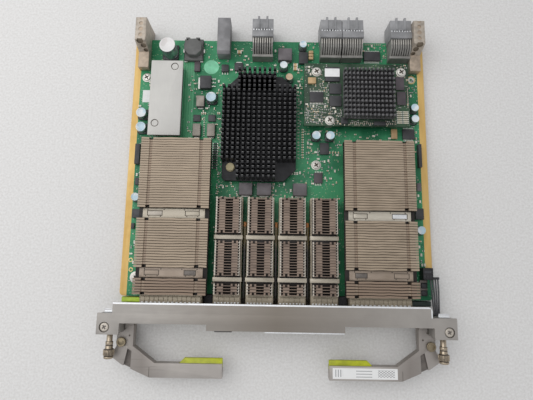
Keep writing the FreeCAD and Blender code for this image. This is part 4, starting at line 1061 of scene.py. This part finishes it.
def switch_wires():
    """Four insulated wires from a comb beside the header to the lever switch, drawn together on the way, and
    a grey carrier with two dark blocks in front of the header."""
    count, pitch = 4, 1.72
    # How far forwards, sideways and up.
    steps = ((3.0, 0, 0.5), (6.0, 0.12, 0.3), (8.0, 0.2, -0.4), (8.3, 0.25, -0.4))
    wires = []
    for number in range(count):
        clear()
        bpy.ops.mesh.primitive_circle_add(vertices=14, radius=0.58 * MM, fill_type="NGON",
                                          location=spot(110.3 + number * pitch, 16.0, 10.9),
                                          rotation=(math.pi / 2, 0, 0))
        wire = settle(bpy.context.object, f"switch_wire_{number}")
        pick(wire, all_faces)
        for reach, lean, rise in steps:
            move = Vector((lean * (count - 1 - number), -reach, rise)) * MM
            bpy.ops.mesh.extrude_region_move(TRANSFORM_OT_translate={"value": move})
        wires.append(wear(close_up(wire), FINISHES["wire_rubber"]))
    comb = block("wire_comb", (108.9, 15.2, 9.8), (116.4, 17.0, 12.0))
    inset(comb, rear_faces, 0.4, -0.3)
    wires.append(wear(soften(comb, 0.25), FINISHES["black_plastic"]))
    fit(unite("switch_lead_finished", wires), "card", "wire_rubber", "switch_lead")
    carrier = plate("switch_carrier", (103.8, 3.2, BOARD_TOP), (109.2, 14.6, 8.4), groove_grey, 0.3)
    parts = [carrier]
    for y in (10.7, 5.3):
        cut_away(carrier, block("bay", (104.3, y - 2.1, 7.0), (110, y + 2.1, 9)), FINISHES["core_black"])
        parts.append(plate("bay_block", (104.6, y - 1.7, 6.8), (108.9, y + 1.7, 8.9),
                           FINISHES["black_plastic"], 0.35))
    fit(unite("switch_carrier", parts), "card", "black_plastic")


def spring_fingers():
    """Contact fingers on the cage fronts where they meet the panel, and beads that touch it, painted
    near-white as highlights.
    """
    kinds = [(node, SMALL_CAGE_TOP, 18.4, 5, 8) for node in SMALL_CAGES]
    kinds += [(node, LARGE_CAGE_TOP, 41.6, 13, 14) for node in LARGE_CAGES]
    hump = (-1.6, 0.6)  # where a finger stands up
    rows = []
    for node, top, width, count, beads in kinds:
        low, high = corners(node)
        left = (low[0] + high[0]) / 2 - width / 2
        pitch = width / count
        finger = block(node + "_finger", (left + 0.14, -3.6, top), (left + pitch - 0.14, 1.6, top + 0.3))
        for y in hump:
            slice_at(finger, (0, y, 0), (0, 1, 0))
        shift(finger, lambda middle, facing: top_faces(middle, facing)
              and hump[0] < middle.y < hump[1], z=0.35)
        soften(finger, 0.1, 2, 20)
        repeat(finger, count, x=pitch)
        pitch = width / beads
        bead = block(node + "_bead", (left + pitch * 0.2, -3.5, top), (left + pitch * 0.8, -2.3, top + 1.0))
        soften(bead, 0.42, 3)
        repeat(bead, beads, x=pitch)
        # The beads wear a painted highlight.
        rows += [wear(finger, FINISHES["cage_metal"]), wear(bead, highlight_and_bright_steel)]
    fit(unite("cage_fingers", rows), "card", "cage_metal")


def panel_trim():
    """The panel's rear rim and right end painted as highlights, a lip with a painted highlight and a strip of
    painted shadow on its front edge, its gaskets, the right one in painted shade, and the ear springs.
    """
    panel = finished("front_panel")
    panel.data.materials.append(highlight_and_bright_steel)
    bright = len(panel.data.materials) - 1
    rim, end, ear_line = -3.5, 103.1, -9.6  # the rear rim's front, the right end and where the ear starts

    def on_top(middle, facing):
        return middle.z > 27.2 and facing.z > 0.2

    # Painted highlight on the top faces of the rear rim.
    slice_at(panel, (0, rim, 0), (0, 1, 0))
    dab(panel, bright, lambda middle, facing: on_top(middle, facing) and middle.y > rim)
    # Painted highlight on the top faces along the right end, behind the ear line.
    slice_at(panel, (end, 0, 0), (1, 0, 0))
    slice_at(panel, (0, ear_line, 0), (0, 1, 0))
    dab(panel, bright, lambda middle, facing: on_top(middle, facing) and end < middle.x < end + 1.1
        and middle.y > ear_line)
    # The lip carries a painted highlight along the front edge.
    lip = soften(block("panel_lip", (-8.0, -21.0, 26.3), (45.3, -19.9, 27.5)), 0.35, 3)
    # Painted shadow: a black strip under the front edge, where a shadow line falls.
    shadow_strip = soften(block("panel_shadow_strip", (-41.6, -20.9, 25.4), (-29.9, -19.9, 26.6)), 0.3, 2)
    lips = [wear(lip, highlight_and_bright_steel), wear(shadow_strip, FINISHES["black_plastic"])]
    fit(unite("panel_lips", lips), "card", "panel_metal")
    gasket = block("left_gasket", (-113.0, -4.9, 1.8), (-95.4, -0.5, 4.2))
    taper(gasket, 0.98, 0.7)
    soften(gasket, 0.4, 3)
    # Painted shade: the right gasket mirrors the lime one and is coloured as a shaded copy of it.
    gaskets = [wear(mirror_of(gasket, "right_gasket"), shaded_gasket), wear(gasket, lime_gasket)]
    fit(unite("panel_gasket", gaskets), "card", "foam_black")
    springs = []
    for side in (-1, 1):
        x, half, crest = side * 112.6, 3.6, 26.0
        spring = block(f"ear_spring_{side}", (x - half, -9.4, 22.4), (x + half, -9.15, crest))
        pick(spring, top_faces)
        bpy.ops.mesh.spin(steps=8, angle=math.radians(-150), center=spot(x, -8.0, crest), axis=(1, 0, 0))
        springs.append(close_up(spring))
    fit(wear(unite("ear_springs", springs), highlight_and_bright_steel), "card", "clip_steel")


def lever_marks():
    """A crease at each lever's elbow, tool marks on the upper arm, a row of dimples near the left handle's
    end, a groove painted darker as shade on each lever and a ring in each pin head."""
    top = top_of("left_lever")
    above = top + ABOVE
    for side, label in zip((-1, 1), SIDES):
        lever = finished(label + "_lever")
        # Painted shade: the lowered faces of each lever's groove take a darker grey.
        lever.data.materials.append(groove_grey)
        dab(lever, 1, lambda middle, facing: top - 2.35 < middle.z < top - 0.4 and -52 < middle.y < -33
            and abs(middle.x) > 95)
        elbow, arm = side * 86.9, side * 106.2
        # The crease, the arm mark and the pit get painted shade on their cut faces.
        crease = block("crease", (elbow - 0.14, -53.0, top - 0.25), (elbow + 0.14, -46.8, above))
        cut_away(lever, crease, recess_shade_dark)
        mark = block("mark", (arm - 2.7, -22.7, top - 0.2), (arm + 2.7, -22.35, above))
        cut_away(lever, copy_of(mark, "arm_mark", turn=-side * 38, about=(arm, -22.5)), recess_shade_dark)
        remove(mark)
        cut_away(lever, drum("pit", side * 101.6, -26.0, top - 0.3, above, 0.6, 14), recess_shade_dark)
        if label == "left":
            dimple = drum("dimple", side * 39.6, -46.2, top - 0.15, above, 0.22, 10)
            cut_away(lever, repeat(dimple, 6, y=-1.2))
    crown = top_of("lever_pins")
    for width, depth in ((0.5, -0.3), (0.5, 0.28)):
        inset(finished("lever_pins"), lambda middle, facing: top_faces(middle, facing)
              and middle.z > crown - 0.5
              and math.hypot(abs(middle.x) - 106.8, middle.y + 30.2) < 0.6, width, depth)


def guide_recesses():
    """Round recesses on the sloping noses and pressed marks on the tops of the two guides."""
    nose_y, nose_top, run, fall = 190.4, 22.8, 3.9, 11.0  # the upper edge of a nose, and how far it slopes
    for side, label in zip((-1, 1), SIDES):
        guide = wear(finished(label + "_guide_module"), FINISHES["guide_metal"], foot_brown)
        dab(guide, 1, lambda middle, facing: middle.y < 186.6)
        low, high = corners(label + "_guide_module")
        x, top = (low[0] + high[0]) / 2, high[2]
        # The recesses' cut faces get a darker brown, painted shade.
        for share, radius, step in ((0.1, 2.5, 0.4), (0.47, 2.1, -1.2), (0.84, 1.7, -2.0)):
            place = (x + side * step, nose_y - run * share, nose_top - fall * share)
            cut_away(guide, rod("recess", place, radius, 1.8, 32, (math.atan2(fall, run), 0, 0)), hole_shade_brown)
        for y, radius in ((194.6, 1.5), (199.2, 1.7), (203.8, 1.5), (208.2, 1.3)):
            cut_away(guide, drum("mark", x, y, top - 0.35, top + ABOVE, radius, 28), foot_brown)


def leads(name, x, y, count, pitch, turn, level, width):
    """A row of bent leads that come out of a package's side, at the middle of that side."""
    left = -pitch * (count - 1) / 2
    lead = block(name, (left - width / 2, 0.45, level), (left + width / 2, 1.5, level + 0.24))
    pull(lead, front_faces, y=-0.3, z=0.5)
    pull(lead, front_faces, y=-0.6)
    repeat(lead, count, x=pitch)
    row = wear(copy_of(lead, name + "_row", x, y, 0, turn), solder)
    remove(lead)
    return row


# Name, middle of the package's side, count, pitch, turn, level and width of the leads.
LEADS = [
    ("driver_rear", 28.4, 153.6, 9, 1.12, 0, DECK_TOP, 0.6),
    ("driver_front", 28.4, 145.6, 9, 1.12, 180, DECK_TOP, 0.6),
    ("slot_rear", 73.4, 191.6, 16, 0.76, 0, BOARD_TOP, 0.42),
    ("slot_front", 73.4, 184.0, 16, 0.76, 180, BOARD_TOP, 0.42),
    ("switch_leads", -42.4, 173.0, 3, 2.0, 180, BOARD_TOP, 0.8),
    ("second_leads", -31.7, 174.2, 3, 2.1, 180, BOARD_TOP, 0.8),
    ("second_tab", -31.7, 180.6, 1, 1, 0, BOARD_TOP, 4.0),
    ("regulator_leads", -52.65, 164.4, 3, 3.0, -90, BOARD_TOP, 0.9),
    ("regulator_tails", -51.0, 164.4, 3, 3.0, -90, BOARD_TOP, 0.6),
    ("corner_chip", 100.1, 120.45, 7, 1.1, 180, BOARD_TOP, 0.6),
    ("corner_rear", 100.1, 128.35, 7, 1.1, 0, BOARD_TOP, 0.6),
    ("front_chip", 30.6, 93.0, 4, 1.3, 0, BOARD_TOP, 0.6),
    ("front_low", 30.6, 85.0, 4, 1.3, 180, BOARD_TOP, 0.6),
]
# Middle, width and depth of the coils that have plated ends.
COILS = [(4.6, 186.9, 10.9, 10.0), (-60.4, 147.6, 6.2, 8.9), (-62.5, 124.7, 6.0, 9.9),
         (-51.4, 124.7, 6.1, 10.2), (-23.9, 79.4, 10.0, 9.4), (-10.1, 79.4, 10.8, 9.4),
         (16.6, 79.4, 10.4, 9.4)]
# Name, lowest and highest corner, top, finish and rounding of packages on the board.
ADDED_PACKAGES = [
    ("choke_lug_1", (-73.6, 198.8), (-70.4, 200.0), 10.6, choke_core, 0.25),
    ("choke_lug_2", (-65.8, 198.8), (-62.6, 200.0), 10.6, choke_core, 0.25),
    ("left_driver", (-65.8, 132.2), (-60.2, 137.6), 7.2, FINISHES["chip_black"], 0.2),
    ("right_driver", (-54.2, 132.4), (-48.6, 137.8), 7.2, FINISHES["chip_black"], 0.2),
    ("narrow_chip", (-66.7, 173.2), (-62.1, 181.8), 7.6, purple_grey, 0.25),
    ("right_edge_chip", (104.8, 80.2), (108.0, 86.2), 7.6, FINISHES["inductor_grey"], 0.3),
    ("left_edge_chip", (-107.6, 81.8), (-104.8, 87.2), 7.4, FINISHES["chip_black"], 0.2),
    ("left_low_chip", (-108.5, 48.6), (-106.0, 52.8), 7.2, FINISHES["chip_black"], 0.2),
]
CHOKE_X = -67.4


def near(x, y, reach_x, reach_y):
    """A test for faces about a place."""
    return lambda middle, facing: abs(middle.x - x) < reach_x and abs(middle.y - y) < reach_y


def package_details():
    """Leads, tabs and end plates of the larger parts, the colours of those that aren't black, and a few
    packages more."""
    packages = wear(finished("board_packages"), FINISHES["chip_black"], tan_ceramic, purple_grey)
    for y in (186.8, 189.2):
        cut_away(packages, block("gap", (23.0, y - 0.25, 6.0), (27.4, y + 0.25, 9.0)))
    dab(packages, 1, near(25.2, 188.0, 2, 4))
    dab(packages, 1, near(89.2, 124.6, 2.5, 4.2))
    dab(packages, 2, near(30.6, 89.0, 3.6, 4.4))
    deck = wear(finished("mezzanine_packages"), FINISHES["chip_black"], tan_ceramic, purple_grey)
    dab(deck, 1, near(25.0, 162.6, 3.2, 2.6))
    dab(deck, 2, lambda middle, facing: middle.x > 88)
    coils = wear(finished("power_inductors"), FINISHES["inductor_grey"], beige_core)
    dab(coils, 1, lambda middle, facing: middle.x < -45 and facing.z > 0.5)
    parts = [leads(*row) for row in LEADS]
    parts.append(plate("regulator_tab", (-63.0, 158.8, BOARD_TOP), (-61.2, 168.0, 7.4), solder))
    for number, (x, y, wide, deep) in enumerate(COILS):
        half = wide * 0.32
        for side in (-1, 1):
            edge = y + side * deep / 2
            low, high = sorted((edge - side * 0.3, edge + side * 0.7))
            parts.append(plate(f"coil_end_{number}_{side}", (x - half, low, BOARD_TOP),
                               (x + half, high, 6.9), solder))
    for side in (-1, 1):
        end, flank = CHOKE_X + side * 6.2, CHOKE_X + side * 7.8
        parts.append(plate(f"choke_end_{side}", (end - 1.2, 181.0, BOARD_TOP),
                           (end + 1.2, 182.4, 7.4), solder))
        parts.append(plate(f"choke_side_{side}", (flank - 0.8, 189.0, BOARD_TOP),
                           (flank + 0.8, 192.0, 7.0), solder))
    fit(unite("package_leads", parts), "card", "screw_steel")
    added = [plate(name, (*low, BOARD_TOP), (*high, top), finish, width)
             for name, low, high, top, finish, width in ADDED_PACKAGES]
    fit(unite("added_packages", added), "card", "chip_black")


def chip_part(name, length, width, height, finish):
    """A chip part: a body between two plated ends that stand slightly proud."""
    part = block(name, (-length / 2, -width / 2, 0), (length / 2, width / 2, height))
    cut = length / 2 - min(0.55, length * 0.24)
    for side in (-1, 1):
        slice_at(part, (side * cut, 0, 0), (1, 0, 0))
    squeeze(part, lambda place: abs(place.x) > length / 2 - 0.01, (0, 0, 0), y=1.08, z=1.05)
    wear(part, finish, solder)
    return dab(part, 1, lambda middle, facing: abs(middle.x) > cut)


# Length, width, height, finish and the room that a part takes to either side.
CHIP_PARTS = {
    "tan": (1.6, 0.85, 0.75, tan_ceramic, 1.0), "dark": (1.6, 0.85, 0.5, FINISHES["chip_black"], 1.0),
    "tiny": (1.05, 0.55, 0.5, brown_ceramic, 0.65), "pale": (2.0, 1.2, 0.9, pale_ceramic, 1.3),
    "bar": (4.0, 0.95, 1.0, FINISHES["chip_black"], 2.1), "large": (3.3, 2.5, 1.8, tan_ceramic, 1.9),
    "stripe": (4.2, 0.7, 0.5, pale_ceramic, 2.1),
}
# Kind, first place, count, step, turn and level.
PART_ROWS = [
    ("tiny", 15.6, 104.6, 21, 0, 2.5, 0, BOARD_TOP), ("tan", 18.8, 105.0, 12, 0, 2.0, 0, BOARD_TOP),
    ("tiny", -57.3, 121.3, 11, 0, 1.45, 0, BOARD_TOP), ("bar", -48.0, 95.8, 11, 0, 1.9, 0, BOARD_TOP),
    ("tiny", -43.6, 97.0, 19, 0, 3.4, 90, BOARD_TOP), ("tan", 39.6, 109.2, 4, 2.2, 0, 90, BOARD_TOP),
    ("pale", 11.0, 92.4, 3, 1.9, 0, 90, BOARD_TOP), ("tan", -59.4, 139.0, 3, 1.4, 0, 90, BOARD_TOP),
    ("tan", -47.0, 139.2, 2, 1.4, 0, 90, BOARD_TOP), ("pale", -55.7, 143.1, 1, 0, 0, 0, BOARD_TOP),
    ("large", 12.9, 176.6, 2, 0, 2.9, 0, BOARD_TOP), ("large", -31.5, 190.0, 1, 0, 0, 0, BOARD_TOP),
    ("stripe", 90.9, 130.4, 7, 0, 1.45, 0, DECK_TOP), ("stripe", 95.6, 130.4, 7, 0, 1.45, 0, DECK_TOP),
    ("tiny", 97.6, 146.0, 8, 0, 1.6, 90, DECK_TOP), ("tiny", 68.5, 198.3, 9, 1.5, 0, 90, BOARD_TOP),
    ("tiny", 54.0, 129.6, 22, 1.5, 0, 90, DECK_TOP), ("pale", 100.6, 29.0, 3, 0, 2.6, 0, BOARD_TOP),
    ("pale", 106.6, 25.4, 2, 1.9, 0, 90, BOARD_TOP), ("pale", 105.8, 76.7, 1, 0, 0, 90, BOARD_TOP),
    ("pale", 105.0, 38.5, 1, 0, 0, 90, BOARD_TOP), ("pale", 106.2, 32.7, 1, 0, 0, 90, BOARD_TOP),
    ("pale", -105.3, 38.9, 1, 0, 0, 90, BOARD_TOP),
]
# Level and mix of kinds, then the most parts and the corners of each crowd.
CROWDS = [
    (DECK_TOP, ("tiny", "tiny", "dark", "tan", "dark", "pale"), [
        (60, (20.2, 129.0), (39.0, 145.0)), (26, (20.2, 155.4), (38.6, 176.0)),
        (60, (41.0, 127.6), (88.0, 132.2)), (22, (38.0, 128.6), (52.0, 143.0)),
        (18, (86.4, 142.0), (98.4, 177.0)), (12, (34.0, 145.0), (40.0, 162.0))]),
    (BOARD_TOP, ("tan", "tan", "dark", "tiny", "tiny", "pale"), [
        (16, (-72, 150), (-46, 198)), (34, (-71, 112), (-43, 160)), (16, (-47, 88), (-42.6, 164)),
        (26, (-42, 172), (32, 199)), (70, (18, 84), (48, 128)), (26, (13.4, 128), (19.0, 178)),
        (26, (62, 178), (100, 199)), (30, (98, 108), (108, 176)), (24, (-108, 4), (-97, 112)),
        (16, (-108, 112), (-98, 172)), (26, (97.5, 4), (108, 106)), (12, (-51, 2), (-45, 92)),
        (12, (43.4, 2), (47.4, 92)), (36, (-46, 72), (17, 98)), (16, (46, 113), (100, 128))]),
]
TRIES = 5  # for each part of a crowd


def small_parts():
    """Chip resistors and capacitors in the rows and crowds that the board carries."""
    kinds = {kind: chip_part(kind + "_part", *sizes[:4]) for kind, sizes in CHIP_PARTS.items()}
    room = {kind: sizes[4] for kind, sizes in CHIP_PARTS.items()}
    bpy.context.view_layer.update()
    graph = bpy.context.evaluated_depsgraph_get()
    taken = []
    placed = []

    def lay(kind, x, y, turn, level):
        placed.append(copy_of(kinds[kind], "part", x, y, level, turn))
        taken.append((x, y, room[kind]))

    def clear_at(x, y, reach, level):
        for a, b in ((0, 0), (reach, 0), (-reach, 0), (0, reach), (0, -reach)):
            hit, place = bpy.context.scene.ray_cast(graph, spot(x + a, y + b, 60), (0, 0, -1))[:2]
            if not hit or abs(place.z / MM - level) > 0.06:
                return False
        return all(math.hypot(x - px, y - py) > reach * 0.75 + size * 0.75 for px, py, size in taken)

    for kind, x, y, count, step_x, step_y, turn, level in PART_ROWS:
        for number in range(count):
            lay(kind, x + number * step_x, y + number * step_y, turn, level)
    for level, choices, crowds in CROWDS:
        for count, low, high in crowds:
            for _ in range(count * TRIES):
                kind = luck.choice(choices)
                x = luck.uniform(low[0], high[0])
                y = luck.uniform(low[1], high[1])
                if count and clear_at(x, y, room[kind], level):
                    lay(kind, x, y, luck.choice((0, 90)), level)
                    count -= 1
    for template in kinds.values():
        remove(template)
    fit(unite("board_small_parts", placed), "card", "chip_black")


def board_marks():
    """A plain printed disc, ring pads and filled holes in the power module's plate."""
    above, below = BOARD_TOP + ABOVE, BOARD_TOP - ABOVE
    disc = drum("printed_disc", -53.4, 177.6, BOARD_TOP, BOARD_TOP + 0.06, 5.9, 48)
    inset(disc, top_faces, 0.5, 0.02)
    fit(wear(disc, disc_green), "card", "circuit_board")
    x, y = 104.0, 169.0
    ring = wear(drum("ring_pad", x, y, BOARD_TOP, BOARD_TOP + 0.25, 3.4, 40), pad_gold)
    cut_away(ring, drum("hole", x, y, BOARD_TOP + 0.05, above, 2.4, 36), solder)
    # The bore's faces are painted dark as shade.
    cut_away(ring, drum("bore", x, y, below, above, 1.1, 28), recess_shade_dark)
    x, y = -106.8, 18.7
    corner = wear(drum("corner_pad", x, y, BOARD_TOP, BOARD_TOP + 0.25, 1.6, 32), pad_gold)
    cut_away(corner, drum("hole", x, y, below, above, 0.9, 28))
    second = copy_of(corner, "second_pad", x=-0.5, y=7.0)
    fit(soften(unite("ring_pads", [ring, corner, second]), 0.08), "card", "pin_brass")
    top = top_of("power_module_plate")
    seat = top - 0.6
    plugs = []
    for number, (x, y) in enumerate([(-79.2, 171.4), (-92.1, 126.6)]):
        # The seats' cut faces get a grey painted as shade.
        cut_away(finished("power_module_plate"), drum("seat", x, y, seat, top + ABOVE, 2.9, 36), groove_grey)
        plug = drum(f"plug_{number}", x, y, seat, top - 0.15, 2.3, 36)
        inset(plug, top_faces, 0.8, -0.2)
        plugs.append(plug)
    fit(wear(soften(unite("plate_plugs", plugs), 0.1), FINISHES["plate_metal"]), "card", "plate_metal")


STRAP_TOP = 22.1
STRAP_HALF = 22.0
STRAP_LEG = 0.5  # the thickness of its legs


def spring_straps():
    """Sheet straps over the wide heat sinks: folded legs, and pressed windows, two of them bright."""
    steel = FINISHES["clip_steel"]
    inside = STRAP_HALF - STRAP_LEG
    for side, middle, near_x, far_x, rear, bright in (("left", -73.5, -60.4, -87.0, steel, tab_bright),
                                                      ("right", 72.1, 58.3, 86.2, strap_pale, highlight_and_bright_steel)):
        parts = []
        front_windows = ((near_x, 8.6, groove_grey), (far_x, 10.6, strap_brown))
        rear_windows = ((near_x, 10.4, rear), (far_x, 11.0, bright))
        for y, skin, windows in ((17.5, strap_brown, front_windows), (58.9, rear, rear_windows)):
            strap = wear(block(f"{side}_strap", (middle - STRAP_HALF, y - 3.4, 21.6),
                               (middle + STRAP_HALF, y + 3.4, STRAP_TOP)), skin)
            for edge in (-inside, inside):
                slice_at(strap, (middle + edge, 0, 0), (1, 0, 0))
            for reach, level in ((9.0, 30), (1.2, 13)):
                pull(strap, lambda centre, facing: facing.z < -FACING and abs(centre.x - middle) > inside
                     and centre.z < level, z=-reach)
            soften(strap, 0.12)
            for x, wide, finish in windows:
                left, right = x - wide / 2, x + wide / 2
                # The window walls are painted dark as shade.
                cut_away(strap, block("window", (left, y - 1.9, 21.82), (right, y + 1.9, 23)), recess_shade_dark)
                parts.append(plate("pane", (left + 0.5, y - 1.5, 21.8), (right - 0.5, y + 1.5, 22.0),
                                   finish, 0.06))
                for end in (left + 1.3, right - 1.3):
                    parts.append(plate("pin", (end - 0.3, y - 2.6, 22.0), (end + 0.3, y - 1.6, 22.25),
                                       recess_shade_dark, 0.06))
            # The dents are painted dark as shade.
            for x in (middle - 18.5, middle - 7.0, middle + 7.5, middle + 18.0):
                cut_away(strap, drum("dent", x, y + 2.5, 21.9, 23, 0.45, 12), recess_shade_dark)
            parts.append(strap)
        fit(unite(side + "_large_clips_finished", parts), "card", "clip_steel", side + "_large_clips")


def cage_windows():
    """Pressed latch windows and round holes in the side walls of the wide cages."""
    for node in LARGE_CAGES:
        low, high = corners(node)
        # The cut faces of the latch windows and holes are painted dark as shade.
        for x in (low[0], high[0]):
            for y in (36.0, 84.0):
                latch = block("latch", (x - 1, y - 2.6, 9.4), (x + 1, y + 2.6, 11.6))
                cut_away(finished(node), latch, recess_shade_dark)
            hole = rod("holes", (x, 70.0, 15.4), 0.8, 2, 14, (0, math.pi / 2, 0))
            cut_away(finished(node), repeat(hole, 8, y=4.6), recess_shade_dark)


def port_collars():
    """Sheet collars with contact fingers round the module ports in the front panel."""
    steel = FINISHES["clip_steel"]
    ports = [(node, -20.0, SMALL_CAGE_TOP) for node in SMALL_CAGES]
    ports += [(node, -16.0, LARGE_CAGE_TOP) for node in LARGE_CAGES]
    collars = []
    for node, front, top in ports:
        (x0, _, z0), (x1, _, _) = corners(node)
        collar = block(node + "_collar", (x0 - 0.7, front - 0.35, z0 - 0.7),
                       (x1 + 0.7, front + 0.1, top + 0.7))
        cut_away(collar, block("mouth", (x0 + 0.3, front - 3, z0 + 0.3), (x1 - 0.3, front + 3, top - 0.3)))
        collars.append(wear(soften(collar, 0.1), steel))
        count = round((x1 - x0) / 2.6)
        pitch = (x1 - x0 - 1.6) / count
        for level in (z0 + 0.2, top - 0.6):
            finger = plate(node + "_port_finger", (x0 + 1.0, front - 0.1, level),
                           (x0 + 0.6 + pitch, front + 2.2, level + 0.4), steel, 0.15)
            collars.append(repeat(finger, count, x=pitch))
    fit(unite("port_collars", collars), "card", "cage_metal")


def blade(name, low, high, narrow, flat):
    """A contact blade with a point at its rear end."""
    part = block(name, low, high)
    point = 0.8
    pull(part, rear_faces, y=point)
    x, _, z = [(a + b) / 2 for a, b in zip(low, high)]
    tip = high[1] + point
    squeeze(part, lambda place: place.y > tip - 0.3, (x, tip, z), x=narrow, z=flat)
    return part


def mating_contacts():
    """Blades in the mouths of the rear connectors and of the power inlet."""
    blades = []
    pitch_x, pitch_z = 2.0, 2.4
    for number, middle in enumerate(CONNECTORS):
        for side in (-1, 1):
            x = middle + side * 3.85 - pitch_x
            contact = blade(f"blade_{number}_{side}", (x - 0.2, 205.6, 5.6), (x + 0.2, 209.4, 6.6), 0.4, 0.5)
            repeat(contact, 3, x=pitch_x)
            blades.append(repeat(contact, 5, z=pitch_z))
    for step in (-1, 0, 1):
        x = -43.2 + step * 9.9 / 3.4
        blades.append(blade(f"power_blade_{step}", (x - 0.3, 201.0, 5.4), (x + 0.3, 210.6, 13.6), 0.3, 0.94))
    fit(wear(unite("mating_contacts", blades), pad_gold), "card", "pin_brass")


def header_details():
    """Latch slots and wire entries of the switch header, and the plunger slot of the lever switch."""
    header, rubber = finished("switch_header"), FINISHES["wire_rubber"]
    top = corners("switch_header")[1][2]
    for x in (106.0, 108.1, 110.2):
        cut_away(header, block("entry", (x - 0.6, 16.4, top - 0.8), (x + 0.6, 18.2, top + ABOVE)), rubber)
    cut_away(header, block("latch", (105.4, 20.0, top - 0.5), (110.8, 21.2, top + ABOVE)), rubber)
    top = corners("lever_switch")[1][2]
    # The slot's faces are painted dark as shade.
    slot = block("slot", (112.4, -13.6, top - 0.6), (115.2, -12.4, top + ABOVE))
    cut_away(finished("lever_switch"), slot, recess_shade_dark)


def lever_label():
    """A white label on the right handle, with plain bars."""
    top = top_of("right_lever")
    sticker = block("handle_label", (39.0, -52.3, top - 0.02), (83.5, -45.2, top + 0.08))
    break_edges(sticker, 0.05)
    fit(wear(sticker, label_white), "right_lever", "lever_metal")


def small_labels():
    """Blank paper labels on a mezzanine package and on the board."""
    stickers = [soften(block(name, low, high), 0.03, 1) for name, low, high in [
        ("chip_label", (34.7, 165.8, 16.58), (46.0, 172.4, 16.66)),
        ("board_label", (-106.4, 147.6, 5.79), (-98.4, 157.6, 5.87))]]
    fit(wear(unite("paper_labels", stickers), paper("paper_label")), "card", "circuit_board")


riding_sinks()
pin_sinks()
capacitors()
screws()
captive_screws()
connector_wafers()
switch_wires()
spring_fingers()
panel_trim()
lever_marks()
guide_recesses()
package_details()
board_marks()
spring_straps()
cage_windows()
port_collars()
mating_contacts()
header_details()
lever_label()
small_labels()
small_parts()


def lamp(name, place, aim, size, power):
    """A round soft light, in metres and watts."""
    clear()
    bpy.ops.object.light_add(type="AREA", location=place)
    light = bpy.context.object
    light.name = name
    light.data.shape = "DISK"
    light.data.size = size
    light.data.energy = power
    light.rotation_euler = (Vector(aim) - Vector(place)).to_track_quat("-Z", "Y").to_euler()


def studio():
    """Pale paper under the card, soft light from above left and from in front, and the camera."""
    clear()
    bpy.ops.mesh.primitive_plane_add(size=6, location=(0, 0, -0.0004))
    floor = bpy.context.object
    floor.name = "paper_floor"
    paint = Paint("pale_paper", Specular_IOR_Level=0.2)
    fleck = paint.noise(1.6, 4)
    base = paint.mix(paint.vary(fleck, 0, 1), tone(214, 212, 209), tone(230, 229, 227))
    wear(floor, paint.done(Base_Color=base, Roughness=paint.vary(fleck, 0.75, 0.9)))
    world = bpy.data.worlds.new("studio_air")
    bpy.context.scene.world = world
    world.use_nodes = True
    air = world.node_tree.nodes["Background"]
    air.inputs["Color"].default_value = (0.96, 0.97, 1.0, 1)
    air.inputs["Strength"].default_value = 0.6
    lamp("window_light", (-0.36, 0.2, 0.6), (-0.05, 0.03, 0), 0.9, 2.8)
    lamp("front_fill", (0.3, -0.8, 0.9), (0, -0.05, 0), 0.9, 0.4)
    clear()
    bpy.ops.object.camera_add(location=(-0.0071, -0.0531, 0.3031),
                              rotation=[math.radians(a) for a in (8.6, 0.07, 0.9)])
    camera = bpy.context.object
    camera.name = "photo_camera"
    camera.data.lens = 27.0
    camera.data.sensor_width = 36.0
    camera.data.clip_start = 0.01
    bpy.context.scene.camera = camera
    bpy.context.scene.view_settings.view_transform = "Standard"


studio()
